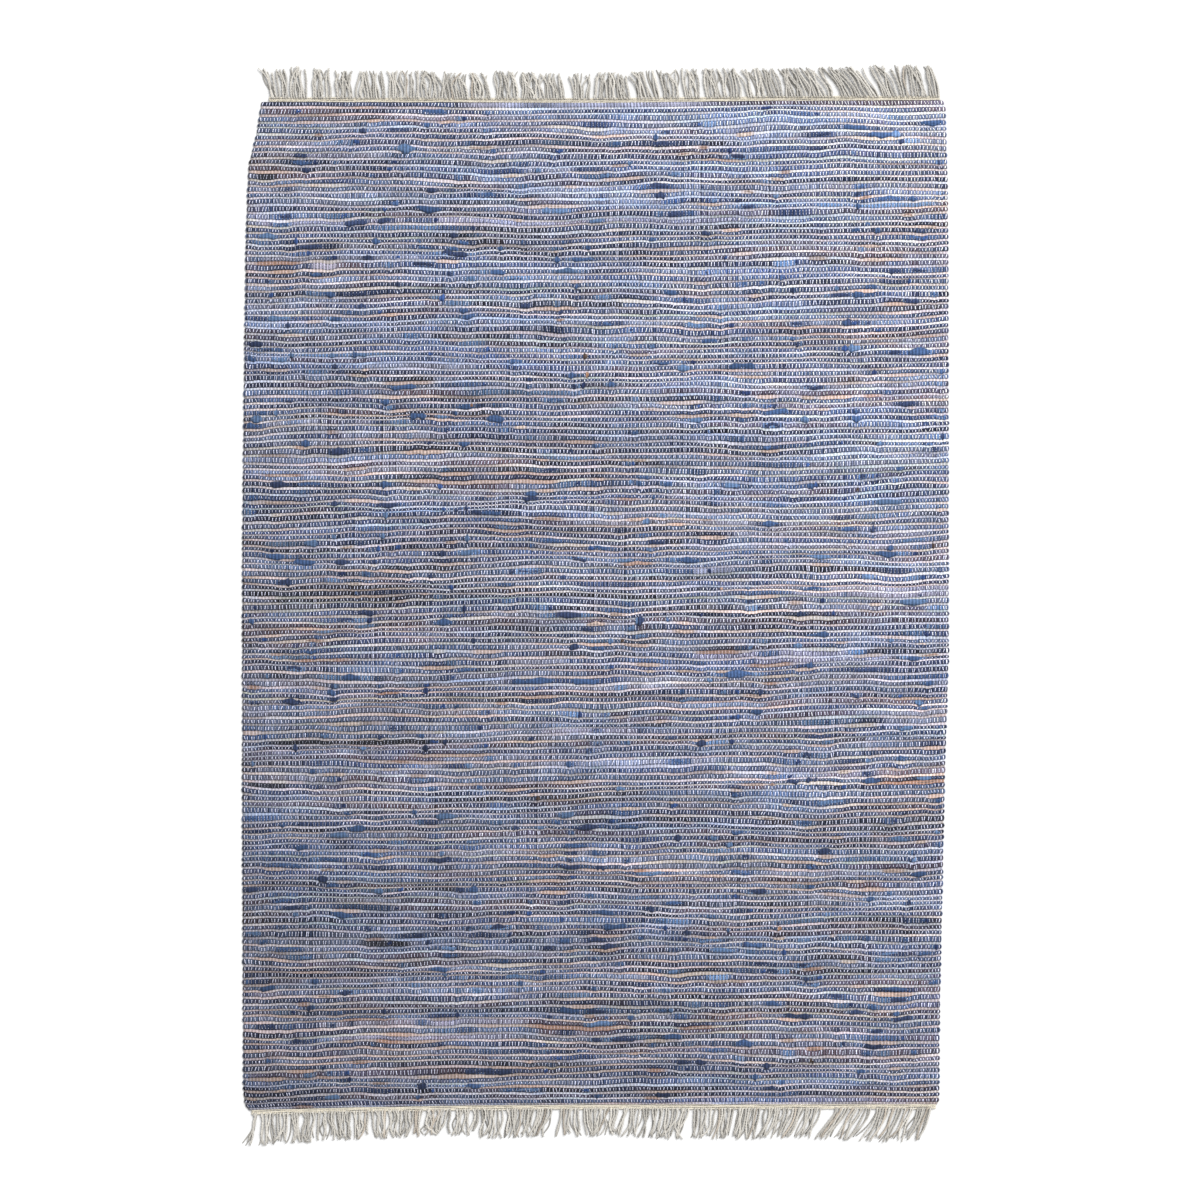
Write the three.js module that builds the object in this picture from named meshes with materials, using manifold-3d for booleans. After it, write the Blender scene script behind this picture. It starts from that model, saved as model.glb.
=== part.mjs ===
// A flat-woven rag rug lying on a floor, in millimetres, +Z up.
// Thick rag picks alternate with fine cotton picks across the width, so its face is ribbed.
// Each end is closed by a cream heading, and the warp ends hang out of it as a fringe.
// X runs across the rug, Y along it, and the floor is at Z = 0.
import * as THREE from "three";
import { mergeVertices } from "three/addons/utils/BufferGeometryUtils.js";
import Module from "manifold-3d";

const wasm = await Module();
wasm.setup();

// Driving dimensions of the woven cloth
const WIDTH = 1410; // between the outermost points of the two selvedges
const LENGTH = 2004; // woven cloth between the two headings
const THICKNESS = 7; // floor to the crown of a rag pick
const GROOVE_HEIGHT = 4.4; // floor to the fine pick between two rag picks
const PICK_PAIRS = 157; // one rag pick and one fine pick each
const RAG_SHARE = 0.5; // of a pair's pitch, the flat crown of the rag pick
const LOOP_DEPTH = 1.6; // how far a rag pick's turn stands out of the selvedge

// Driving dimensions of the headings and the fringe
const HEADING_DEPTH = 10; // along Y
const HEADING_HEIGHT = 5;
const HEADING_BEVEL = 1.6;
const SEAM_GAP = 0.3; // between the cloth's end and its heading
const STRAND_PITCH = 8.2; // between neighbouring roots in a tuft
const STRAND_WIDTH = 4.4;
const STRAND_HEIGHT = 3;
const FEWEST_STRANDS = 2; // in a tuft
const BEND_AT = 0.4; // share of a strand's reach where it turns towards its lean
const BEND_SWING = 0.3; // share of its lean that it has taken up there
const TIP_TAPER = 0.8; // a strand's section at its tip, beside its root
const ROOT_DEPTH = 4; // how far a strand is held inside the heading
const UNEVEN_REACH = 5; // the most that a strand falls short of its tuft

// Resolution of the cloth's faces
const COLUMNS = 6;
const PAIRS_PER_UNDERSIDE_ROW = 4;

// Rows of numbers with named columns, as a list of objects.
function table(columns, rows) {
  return rows.map((row) => Object.fromEntries(columns.map((name, i) => [name, row[i]])));
}

// How far each selvedge lies inside the widest line, by the distance from the far end.
const LEFT_SELVEDGE = table(["along", "inset"], [
  [0, 38],
  [60, 29],
  [130, 12],
  [280, 7],
  [600, 3],
  [900, 0],
  [1500, 0],
  [1960, 2],
  [1990, 4],
  [LENGTH, 11],
]);
const RIGHT_SELVEDGE = table(["along", "inset"], [
  [0, 12],
  [14, 7],
  [130, 3],
  [300, 1],
  [700, 0],
  [1110, 0],
  [1360, 8],
  [1840, 18],
  [1980, 19],
  [LENGTH, 21],
]);

// How far each end of the cloth bows out (+) or in (-), by the share of the width from the left.
const FAR_END = table(["across", "bow"], [
  [0, 1],
  [0.5, -1],
  [0.75, 3],
  [1, 4],
]);
const NEAR_END = table(["across", "bow"], [
  [0, 10],
  [0.17, 4],
  [0.3, 1],
  [0.5, -1],
  [1, -2],
]);

// Slow waves of the picks, which are beaten in unevenly: how far a pick strays along Y,
// how many waves fit across and along the cloth, and where each wave starts, in turns.
const PICK_WAVES = table(["stray", "across", "along", "start"], [
  [4.0, 1.3, 2.0, 0.1],
  [3.0, 2.1, 3.0, 0.62],
  [2.2, 0.6, 5.0, 0.35],
  [1.6, 2.6, 9.0, 0.8],
]);

// Fringe tufts of each end, from the left end of the heading: the stretch that a tuft is
// rooted in, how far its tip leans to +X, how much its strands spread at the tip, and its reach.
const TUFT_COLUMNS = ["from", "to", "lean", "gather", "reach"];
const FAR_FRINGE = {
  leftInset: 13,
  rightInset: 3,
  tufts: table(TUFT_COLUMNS, [
    [2, 18, -16, 0.9, 56],
    [20, 40, -8, 0.8, 56],
    [42, 78, -9, 0.8, 60],
    [84, 124, -2, 0.7, 56],
    [134, 172, 0, 0.8, 52],
    [174, 234, -5, 0.85, 52],
    [238, 302, -3, 0.9, 52],
    [304, 352, -5, 0.88, 52],
    [354, 400, -9, 0.8, 48],
    [404, 446, -8, 0.9, 48],
    [450, 500, -6, 0.8, 52],
    [502, 548, -6, 0.85, 50],
    [550, 594, -9, 0.8, 48],
    [606, 642, -2, 1.2, 48],
    [646, 694, 0, 0.6, 50],
    [696, 724, -8, 0.85, 48],
    [734, 768, -16, 0.9, 50],
    [772, 784, -16, 1.0, 52],
    [788, 822, -7, 1.0, 54],
    [830, 860, -9, 0.75, 56],
    [874, 918, -14, 1.0, 56],
    [920, 944, -8, 1.0, 56],
    [956, 1028, -16, 0.85, 54],
    [1032, 1086, -22, 0.8, 54],
    [1088, 1126, -24, 0.6, 56],
    [1142, 1220, -38, 0.9, 56],
    [1226, 1258, -28, 1.0, 60],
    [1262, 1288, -18, 0.8, 60],
    [1290, 1318, -18, 0.5, 60],
    [1320, 1342, -16, 1.0, 58],
  ]),
};
const NEAR_FRINGE = {
  leftInset: 5,
  rightInset: 2,
  tufts: table(TUFT_COLUMNS, [
    [2, 12, -16, 1.0, 60],
    [14, 40, -2, 0.9, 60],
    [42, 76, -2, 0.85, 58],
    [78, 130, -4, 0.6, 56],
    [132, 152, -2, 0.8, 52],
    [154, 200, -1, 0.9, 52],
    [202, 236, -5, 0.75, 52],
    [238, 296, -4, 0.9, 52],
    [298, 346, -3, 0.8, 50],
    [348, 400, -11, 0.75, 46],
    [408, 456, -6, 0.95, 48],
    [458, 502, -2, 0.75, 54],
    [508, 556, -9, 0.8, 54],
    [558, 602, -13, 0.85, 52],
    [616, 656, -3, 1.2, 52],
    [662, 704, -2, 0.6, 52],
    [706, 736, -14, 0.6, 50],
    [742, 772, -12, 0.85, 52],
    [776, 796, -12, 0.8, 54],
    [800, 836, -7, 1.0, 56],
    [840, 876, -13, 0.6, 58],
    [884, 920, -12, 0.85, 56],
    [926, 966, -12, 0.95, 58],
    [970, 1020, -12, 1.0, 58],
    [1026, 1076, -18, 0.8, 56],
    [1080, 1140, -25, 0.9, 56],
    [1164, 1196, -36, 1.0, 58],
    [1200, 1238, -36, 0.95, 60],
    [1248, 1276, -32, 0.8, 62],
    [1280, 1302, -34, 1.0, 64],
    [1304, 1326, -33, 0.8, 64],
    [1328, 1360, -20, 1.2, 60],
  ]),
};

const clothMaterial = new THREE.MeshStandardMaterial({ color: 0x8b8f9f, roughness: 0.95, metalness: 0 });
const fringeMaterial = new THREE.MeshStandardMaterial({ color: 0xbdb8ae, roughness: 0.9, metalness: 0 });

// The value of a table's column at a place along its key column, straight between two rows.
function lookUp(rows, key, value, at) {
  const next = rows.findIndex((row) => row[key] >= at);
  if (next <= 0) return rows.at(next === 0 ? 0 : -1)[value];
  const a = rows[next - 1];
  const b = rows[next];
  return THREE.MathUtils.mapLinear(at, a[key], b[key], a[value], b[value]);
}

// A repeatable share from 0 to 1 for a numbered strand, since steps of the golden ratio never repeat.
function scatter(number) {
  const goldenRatio = (1 + Math.sqrt(5)) / 2;
  return (number * goldenRatio) % 1;
}

const leftEdge = (along) => -WIDTH / 2 + lookUp(LEFT_SELVEDGE, "along", "inset", along);
const rightEdge = (along) => WIDTH / 2 - lookUp(RIGHT_SELVEDGE, "along", "inset", along);
const farEnd = (across) => LENGTH / 2 + lookUp(FAR_END, "across", "bow", across);
const nearEnd = (across) => -LENGTH / 2 - lookUp(NEAR_END, "across", "bow", across);

// How far a pick strays along Y at a place on the cloth, none at the two ends.
function pickStray(across, share) {
  const held = Math.sqrt(Math.sin(Math.PI * share));
  const turn = (wave) => wave.across * across + wave.along * share + wave.start;
  const sum = PICK_WAVES.reduce((total, wave) => total + wave.stray * Math.sin(2 * Math.PI * turn(wave)), 0);
  return held * sum;
}

// A point of the cloth in plan, by its shares of the width from the left and of the length from the far end.
function clothPoint(across, share, drawnIn) {
  const left = leftEdge(share * LENGTH) + drawnIn;
  const right = rightEdge(share * LENGTH) - drawnIn;
  return {
    x: THREE.MathUtils.lerp(left, right, across),
    y: THREE.MathUtils.lerp(farEnd(across), nearEnd(across), share) + pickStray(across, share),
  };
}

// The lines along which the upper face is drawn: a groove, then the two shoulders of the rag pick's crown.
function pickLines() {
  const lines = [];
  for (let pair = 0; pair < PICK_PAIRS; pair++) {
    lines.push({ share: pair / PICK_PAIRS, height: GROOVE_HEIGHT, drawnIn: LOOP_DEPTH });
    for (const side of [-0.5, 0.5]) {
      lines.push({ share: (pair + 0.5 + side * RAG_SHARE) / PICK_PAIRS, height: THICKNESS, drawnIn: 0 });
    }
  }
  lines.push({ share: 1, height: GROOVE_HEIGHT, drawnIn: LOOP_DEPTH });
  return lines;
}

// The woven cloth: a ribbed upper face, a flat underside on fewer rows, and the walls between them.
function clothGeometry() {
  const positions = [];
  const triangles = [];
  const addRow = ({ share, height, drawnIn }) => {
    const first = positions.length / 3;
    for (let column = 0; column <= COLUMNS; column++) {
      const point = clothPoint(column / COLUMNS, share, drawnIn);
      positions.push(point.x, point.y, height);
    }
    return first;
  };
  const addQuad = (a, b, c, d) => triangles.push(a, b, c, a, c, d);

  const lines = pickLines();
  const upper = lines.map(addRow);
  const linesPerPair = (lines.length - 1) / PICK_PAIRS;
  const step = linesPerPair * PAIRS_PER_UNDERSIDE_ROW;
  const lowerLines = lines.filter((line, i) => i % step === 0 || i === lines.length - 1);
  const lower = lowerLines.map((line) => addRow({ ...line, height: 0, drawnIn: LOOP_DEPTH }));

  for (let row = 1; row < upper.length; row++) {
    for (let column = 0; column < COLUMNS; column++) {
      const far = upper[row - 1] + column;
      const near = upper[row] + column;
      addQuad(far, near, near + 1, far + 1);
    }
  }
  for (let row = 1; row < lower.length; row++) {
    for (let column = 0; column < COLUMNS; column++) {
      const far = lower[row - 1] + column;
      const near = lower[row] + column;
      addQuad(far, far + 1, near + 1, near);
    }
  }
  for (let column = 0; column < COLUMNS; column++) {
    addQuad(upper[0] + column, upper[0] + column + 1, lower[0] + column + 1, lower[0] + column);
    const top = upper.at(-1) + column;
    const bottom = lower.at(-1) + column;
    addQuad(top, bottom, bottom + 1, top + 1);
  }
  // Each selvedge wall fans from a coarse underside row to the fine rows above it.
  for (let row = 1; row < upper.length; row++) {
    const foot = Math.floor((row - 1) / step);
    triangles.push(upper[row - 1], lower[foot], upper[row]);
    triangles.push(upper[row] + COLUMNS, lower[foot] + COLUMNS, upper[row - 1] + COLUMNS);
    if (row % step === 0 || row === upper.length - 1) {
      triangles.push(upper[row], lower[foot], lower[foot + 1]);
      triangles.push(upper[row] + COLUMNS, lower[foot + 1] + COLUMNS, lower[foot] + COLUMNS);
    }
  }
  return indexed(positions, triangles);
}

function indexed(positions, triangles) {
  const geometry = new THREE.BufferGeometry();
  geometry.setAttribute("position", new THREE.Float32BufferAttribute(positions, 3));
  geometry.setIndex(triangles);
  return geometry;
}

// A closed solid lofted through rings of equally many points, with flat ends.
function loft(rings) {
  const sides = rings[0].length;
  const positions = rings.flat().flatMap((point) => [point.x, point.y, point.z]);
  const triangles = [];
  for (let ring = 1; ring < rings.length; ring++) {
    for (let side = 0; side < sides; side++) {
      const a = (ring - 1) * sides + side;
      const b = (ring - 1) * sides + ((side + 1) % sides);
      triangles.push(a, b, b + sides, a, b + sides, a + sides);
    }
  }
  const last = (rings.length - 1) * sides;
  for (let side = 2; side < sides; side++) {
    triangles.push(0, side, side - 1);
    triangles.push(last, last + side - 1, last + side);
  }
  return indexed(positions, triangles);
}

function solidOf(geometry) {
  const merged = mergeVertices(geometry);
  return new wasm.Manifold(
    new wasm.Mesh({
      numProp: 3,
      vertProperties: merged.attributes.position.array,
      triVerts: new Uint32Array(merged.index.array),
    }),
  );
}

function geometryOf(solid) {
  const mesh = solid.getMesh();
  return indexed(Array.from(mesh.vertProperties), Array.from(mesh.triVerts));
}

// The two ends: which way along Y is outwards, the share of the length, the end's line and its fringe.
const farSide = { outward: 1, share: 0, endLine: farEnd, fringe: FAR_FRINGE };
const nearSide = { outward: -1, share: 1, endLine: nearEnd, fringe: NEAR_FRINGE };

// The heading's span and its inner line, which keeps the seam gap to the cloth's end.
function headingLine({ outward, share, endLine, fringe }) {
  const clothLeft = leftEdge(share * LENGTH) + LOOP_DEPTH;
  const clothRight = rightEdge(share * LENGTH) - LOOP_DEPTH;
  const left = clothLeft + fringe.leftInset;
  const right = clothRight - fringe.rightInset;
  const across = (x) => (x - clothLeft) / (clothRight - clothLeft);
  // Between two columns the cloth's end is straight, so the heading's line is taken from the same columns.
  const columns = Array.from({ length: COLUMNS + 1 }, (_, i) => i / COLUMNS);
  const ends = columns.map((at) => ({ across: at, y: endLine(at) }));
  const inner = (x) => lookUp(ends, "across", "y", across(x)) + outward * SEAM_GAP;
  const corners = columns.map((at) => THREE.MathUtils.lerp(clothLeft, clothRight, at));
  const stations = [left, ...corners.filter((x) => x > left && x < right), right];
  return { left, inner, stations };
}

// The cream heading: a low bar with a bevelled top, following the cloth's end.
function headingGeometry({ outward }, { inner, stations }) {
  const section = [
    [0, 0],
    [HEADING_DEPTH, 0],
    [HEADING_DEPTH, HEADING_HEIGHT - HEADING_BEVEL],
    [HEADING_DEPTH - HEADING_BEVEL, HEADING_HEIGHT],
    [HEADING_BEVEL, HEADING_HEIGHT],
    [0, HEADING_HEIGHT - HEADING_BEVEL],
  ];
  const turned = outward > 0 ? section : [...section].reverse();
  const ringAt = (x) => turned.map(([out, z]) => ({ x, y: inner(x) + outward * out, z }));
  return loft(stations.map(ringAt));
}

// A strand of three sides, lying on the floor: straight out of the heading, then leaning over to its tip.
function strandGeometry({ outward }, { root, rootY, lean, reach }) {
  const steps = [
    { out: -ROOT_DEPTH, swing: 0, size: 1 },
    { out: BEND_AT * reach, swing: BEND_SWING, size: 1 },
    { out: reach, swing: 1, size: TIP_TAPER },
  ];
  const rings = steps.map(({ out, swing, size }) => {
    const x = root + swing * lean;
    const y = rootY + outward * out;
    const half = (outward * size * STRAND_WIDTH) / 2;
    return [
      { x: x - half, y, z: 0 },
      { x, y, z: size * STRAND_HEIGHT },
      { x: x + half, y, z: 0 },
    ];
  });
  return loft(rings);
}

// Every strand of a fringe: its root's place and how far its tip leans from it.
function strandsOf({ outward, fringe }, { left, inner }) {
  let number = 0;
  return fringe.tufts.flatMap((tuft) => {
    const count = Math.max(FEWEST_STRANDS, Math.round((tuft.to - tuft.from) / STRAND_PITCH));
    const middle = (tuft.from + tuft.to) / 2;
    return Array.from({ length: count }, (_, i) => {
      const place = THREE.MathUtils.lerp(tuft.from, tuft.to, (i + 0.5) / count);
      const root = left + place;
      number += 1;
      return {
        root,
        rootY: inner(root) + outward * HEADING_DEPTH,
        lean: tuft.lean + (place - middle) * (tuft.gather - 1),
        reach: tuft.reach - UNEVEN_REACH * scatter(number),
      };
    });
  });
}

// A heading with its strands fused into it at their roots.
function fringeGeometry(side) {
  const line = headingLine(side);
  const strands = strandsOf(side, line).map((strand) => solidOf(strandGeometry(side, strand)));
  const heading = solidOf(headingGeometry(side, line));
  return geometryOf(strands.reduce((joined, strand) => joined.add(strand), heading));
}

function node(name, geometry, material) {
  const mesh = new THREE.Mesh(geometry, material);
  mesh.name = name;
  return mesh;
}

const rug = new THREE.Group();
rug.add(node("rag_cloth", clothGeometry(), clothMaterial));
rug.add(node("fringe_far", fringeGeometry(farSide), fringeMaterial));
rug.add(node("fringe_near", fringeGeometry(nearSide), fringeMaterial));

// The origin is the middle of the rug's footprint, on the floor.
const middle = new THREE.Box3().setFromObject(rug).getCenter(new THREE.Vector3());
rug.position.set(-middle.x, -middle.y, 0);

export default rug;
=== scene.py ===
import functools

import bpy
import numpy as np
from bpy.props import FloatProperty, FloatVectorProperty, IntProperty, PointerProperty
from bpy.types import Operator, Panel, PropertyGroup
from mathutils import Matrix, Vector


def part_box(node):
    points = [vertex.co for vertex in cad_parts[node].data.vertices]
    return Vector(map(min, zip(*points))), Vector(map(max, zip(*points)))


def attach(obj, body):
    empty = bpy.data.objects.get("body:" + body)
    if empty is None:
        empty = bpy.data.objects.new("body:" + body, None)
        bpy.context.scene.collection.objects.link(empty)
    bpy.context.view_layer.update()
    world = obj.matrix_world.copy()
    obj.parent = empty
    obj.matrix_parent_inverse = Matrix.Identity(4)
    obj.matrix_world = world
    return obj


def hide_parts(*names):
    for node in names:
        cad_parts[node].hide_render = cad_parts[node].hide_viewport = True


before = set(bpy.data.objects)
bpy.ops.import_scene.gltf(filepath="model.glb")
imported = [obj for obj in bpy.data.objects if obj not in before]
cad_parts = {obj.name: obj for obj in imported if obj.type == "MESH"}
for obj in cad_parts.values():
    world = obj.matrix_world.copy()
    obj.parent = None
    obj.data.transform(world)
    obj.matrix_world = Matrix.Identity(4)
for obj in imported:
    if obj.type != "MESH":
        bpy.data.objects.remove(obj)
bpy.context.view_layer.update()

bl_info = {
    "name": "Rag Rug",
    "version": (1, 0, 0),
    "blender": (4, 5, 0),
    "location": "3D View > Sidebar > Rug",
    "description": "Weaves a blue rag rug with cream headings and a loose warp fringe",
    "category": "Add Mesh",
}

CLOTH_LOW, CLOTH_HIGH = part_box("rag_cloth")
MM = 0.001

# Woven cloth between the two headings, and its widest line
LENGTH = 2.004
WIDTH = CLOTH_HIGH.x - CLOTH_LOW.x

# Place along a selvedge from the far end, and how far it lies inside the widest line, in mm
LEFT_SELVEDGE = np.array([
    (0, 38), (60, 29), (130, 12), (280, 7), (600, 3), (900, 0), (1500, 0), (1960, 2), (1990, 4), (2004, 11),
], float)
RIGHT_SELVEDGE = np.array([
    (0, 12), (14, 7), (130, 3), (300, 1), (700, 0), (1110, 0), (1360, 8), (1840, 18), (1980, 19), (2004, 21),
], float)

# Share of the width from the left, and how far the end of the cloth bows out there, in mm
FAR_BOW = np.array([(0, 1), (0.5, -1), (0.75, 3), (1, 4)], float)
NEAR_BOW = np.array([(0, 10), (0.17, 4), (0.3, 1), (0.5, -1), (1, -2)], float)

# The far end's place along Y: the part's origin is the middle of its footprint
FAR_Y = CLOTH_HIGH.y - FAR_BOW[:, 1].max() * MM

# Fringe tufts from the left end of the heading, in mm: the stretch that a tuft is rooted in,
# how far its tip leans to +X, how much its strands spread at the tip, and its reach
FAR_TUFTS = np.array([
    (2, 18, -16, 0.9, 56), (20, 40, -8, 0.8, 56), (42, 78, -9, 0.8, 60), (84, 124, -2, 0.7, 56),
    (134, 172, 0, 0.8, 52), (174, 234, -5, 0.85, 52), (238, 302, -3, 0.9, 52),
    (304, 352, -5, 0.88, 52), (354, 400, -9, 0.8, 48), (404, 446, -8, 0.9, 48),
    (450, 500, -6, 0.8, 52), (502, 548, -6, 0.85, 50), (550, 594, -9, 0.8, 48),
    (606, 642, -2, 1.2, 48), (646, 694, 0, 0.6, 50), (696, 724, -8, 0.85, 48),
    (734, 768, -16, 0.9, 50), (772, 784, -16, 1.0, 52), (788, 822, -7, 1.0, 54),
    (830, 860, -9, 0.75, 56), (874, 918, -14, 1.0, 56), (920, 944, -8, 1.0, 56),
    (956, 1028, -16, 0.85, 54), (1032, 1086, -22, 0.8, 54), (1088, 1126, -24, 0.6, 56),
    (1142, 1220, -38, 0.9, 56), (1226, 1258, -28, 1.0, 60), (1262, 1288, -18, 0.8, 60),
    (1290, 1318, -18, 0.5, 60), (1320, 1342, -16, 1.0, 58),
])
NEAR_TUFTS = np.array([
    (2, 12, -16, 1.0, 60), (14, 40, -2, 0.9, 60), (42, 76, -2, 0.85, 58), (78, 130, -4, 0.6, 56),
    (132, 152, -2, 0.8, 52), (154, 200, -1, 0.9, 52), (202, 236, -5, 0.75, 52),
    (238, 296, -4, 0.9, 52), (298, 346, -3, 0.8, 50), (348, 400, -11, 0.75, 46),
    (408, 456, -6, 0.95, 48), (458, 502, -2, 0.75, 54), (508, 556, -9, 0.8, 54),
    (558, 602, -13, 0.85, 52), (616, 656, -3, 1.2, 52), (662, 704, -2, 0.6, 52),
    (706, 736, -14, 0.6, 50), (742, 772, -12, 0.85, 52), (776, 796, -12, 0.8, 54),
    (800, 836, -7, 1.0, 56), (840, 876, -13, 0.6, 58), (884, 920, -12, 0.85, 56),
    (926, 966, -12, 0.95, 58), (970, 1020, -12, 1.0, 58), (1026, 1076, -18, 0.8, 56),
    (1080, 1140, -25, 0.9, 56), (1164, 1196, -36, 1.0, 58), (1200, 1238, -36, 0.95, 60),
    (1248, 1276, -32, 0.8, 62), (1280, 1302, -34, 1.0, 64), (1304, 1326, -33, 0.8, 64),
    (1328, 1360, -20, 1.2, 60),
])

# Shades as red, green and blue from 0 to 255, then how common each is at the far and the near end.
# In pale patches the later shades of a table are more common, and a share of 0 is for the marks alone
RAG_SHADES = {
    "dark slate": (56, 58, 71, 0.06, 0.08),
    "navy": (56, 61, 88, 0.17, 0.21),
    "denim": (72, 86, 123, 0.28, 0.29),
    "mid blue": (93, 111, 145, 0.22, 0.19),
    "plum": (97, 84, 98, 0.10, 0.11),
    "steel blue": (104, 114, 141, 0.12, 0.09),
    "grey blue": (122, 124, 143, 0.04, 0.02),
    "lilac": (144, 139, 162, 0.01, 0.01),
}
SLUB_SHADES = {
    "charcoal": (50, 52, 62, 0, 0),
    "navy": (58, 72, 108, 0.26, 0.31),
    "denim": (76, 97, 137, 0.40, 0.40),
    "mid blue": (96, 124, 164, 0.34, 0.29),
    "lilac": (176, 178, 206, 0, 0),
}
FINE_SHADES = {
    "tan": (197, 184, 181, 0.04, 0.07),
    "peach": (220, 205, 204, 0.13, 0.19),
    "pink": (223, 212, 222, 0.26, 0.24),
    "cream": (221, 218, 221, 0.17, 0.16),
    "pale green": (206, 214, 209, 0.06, 0.06),
    "white": (223, 225, 238, 0.25, 0.18),
    "pale blue": (198, 206, 234, 0.09, 0.10),
}
FINE_SLUB_SHADES = {
    "rust": (184, 152, 139, 0.05, 0.07),
    "tan": (203, 181, 172, 0.27, 0.33),
    "peach": (216, 193, 185, 0.42, 0.40),
    "cream": (218, 209, 204, 0.26, 0.20),
}
KNOT_SHADES = {
    "navy": (46, 60, 100, 0.41, 0.46),
    "denim": (58, 84, 138, 0.51, 0.46),
    "brown": (84, 70, 64, 0.06, 0.06),
    "rust": (170, 132, 108, 0.02, 0.02),
}
LUMP_SHADES = {
    "navy": (54, 66, 98, 0.34, 0.38),
    "denim": (68, 92, 133, 0.44, 0.42),
    "mid blue": (94, 120, 158, 0.22, 0.20),
}
FINE_LUMP_SHADES = {
    "rust": (164, 138, 128, 0.12, 0.16),
    "tan": (184, 165, 157, 0.48, 0.50),
    "sand": (199, 183, 174, 0.40, 0.34),
}

# Thick stretches that stand out in the cloth, in mm in the part's frame:
# both ends along X, and the place along Y
RAG_MARKS = {
    "charcoal": [
        (-655, -511, -262), (-511, -291, -262), (-701, -607, -350), (-467, -367, -676), (-691, -647, 854),
    ],
    "navy": [
        (-251, -141, 874), (-51, 13, 870), (359, 433, 786), (-41, 19, 962), (-11, 61, 570),
        (-461, -371, 30), (-51, 99, 46), (-161, -67, -186), (-251, -187, -662), (-61, 13, -910),
        (-461, -407, -970), (-591, -501, -426),
    ],
    "denim": [
        (-335, -255, 760), (9, 89, -8),
    ],
    "mid blue": [
        (-411, -371, 354), (-551, -491, 786), (529, 689, 792),
    ],
    "lilac": [
        (-281, 209, 998), (-581, -521, 678), (185, 277, 70),
    ],
}
FINE_MARKS = {
    "rust": [
        (-691, -591, 690), (-441, -391, -162), (-699, -667, -150), (-441, -377, -862), (-131, 89, -842),
        (-599, -567, -786), (-611, -567, -992), (337, 365, -146),
    ],
    "tan": [
        (-511, -455, 284), (-317, -247, 270), (-231, -137, 154), (-351, -285, -108), (-111, -67, -492),
        (-451, -407, -488), (399, 445, -128), (-681, -621, -928),
    ],
    "peach": [
        (-177, -71, 254), (9, 93, 856), (319, 365, 426), (119, 219, 408), (-251, -187, -92),
        (-111, -47, -574), (569, 653, -778),
    ],
    "cream": [
        (-95, -7, 128), (375, 503, -20), (509, 613, 930), (-181, -127, 632),
    ],
}

# Places over one pair of picks in the weave map, from 0 to 1: where the fine pick begins,
# the rag pick's lines at its sides and on its crown, and the fine pick's middle
FINE_EDGE = 0.68
RAG_LINES = (0.08, 0.34, 0.60)
FINE_LINE = 0.84

# The weave map counts the warp yarns across, and each lies over the rag picks at this part of its count
WEAVE_MAP = "Weave"
WARP_LINE = 0.5

# How far a warp yarn is pushed aside at a pair of picks, in metres, and the part that it keeps at the next
YARN_PUSH, YARN_KEPT = 0.0003, 0.9

# Least light of a stored colour, the sheen of cotton, and the height of a rag's fibres beside its puffs
DARKEST = 0.004
SHEEN = 0.1
FIBRE_HEIGHT = 0.5

# Scales of noise that stretch it along the picks, for fibres and for the mottle of a rag
ALONG_PICK = (0.4, 1, 1)
RAG_STRETCH = (0.5, 1, 1)


class WeaveSettings(PropertyGroup):
    """Sizes of the woven cloth, and how many thick stretches its picks have"""

    pairs: IntProperty(name="Pick pairs", description="Rag picks, each with a fine pick", default=157)
    ribs: IntProperty(
        name="Warp floats", description="Warp yarns that cross over each rag pick", default=206,
    )
    columns: IntProperty(name="Columns", description="Steps of the cloth across its width", default=126)
    under_columns: IntProperty(
        name="Under columns", description="Steps of the underside across its width", default=6,
    )
    crown: FloatProperty(
        name="Crown", description="Height of a rag pick", default=0.0064, unit="LENGTH",
    )
    fine: FloatProperty(
        name="Fine pick", description="Height of a fine pick", default=0.0046, unit="LENGTH",
    )
    fine_share: FloatProperty(
        name="Fine share", description="Part of a pair that is fine pick", default=0.34,
    )
    shoulder: FloatProperty(
        name="Shoulder", description="Share of a rag pick's rise at its sides", default=0.62,
    )
    under: FloatProperty(
        name="Under", description="Height of the underside's rags", default=0.0003, unit="LENGTH",
    )
    under_fine: FloatProperty(
        name="Under fine", description="The same, fine picks", default=0.0014, unit="LENGTH",
    )
    loop: FloatProperty(
        name="Loop", description="How far a rag turns out of the selvedge", default=0.002, unit="LENGTH",
    )
    round_in: FloatProperty(
        name="Rounding", description="Width of a selvedge's rounding", default=0.004, unit="LENGTH",
    )
    slubs: IntProperty(name="Slubs", description="Thick stretches of the rag picks", default=1000)
    fine_slubs: IntProperty(
        name="Fine slubs", description="Thick stretches of the fine picks", default=300,
    )
    seed: IntProperty(name="Seed", description="Seed of the uneven weaving", default=7)


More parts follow.
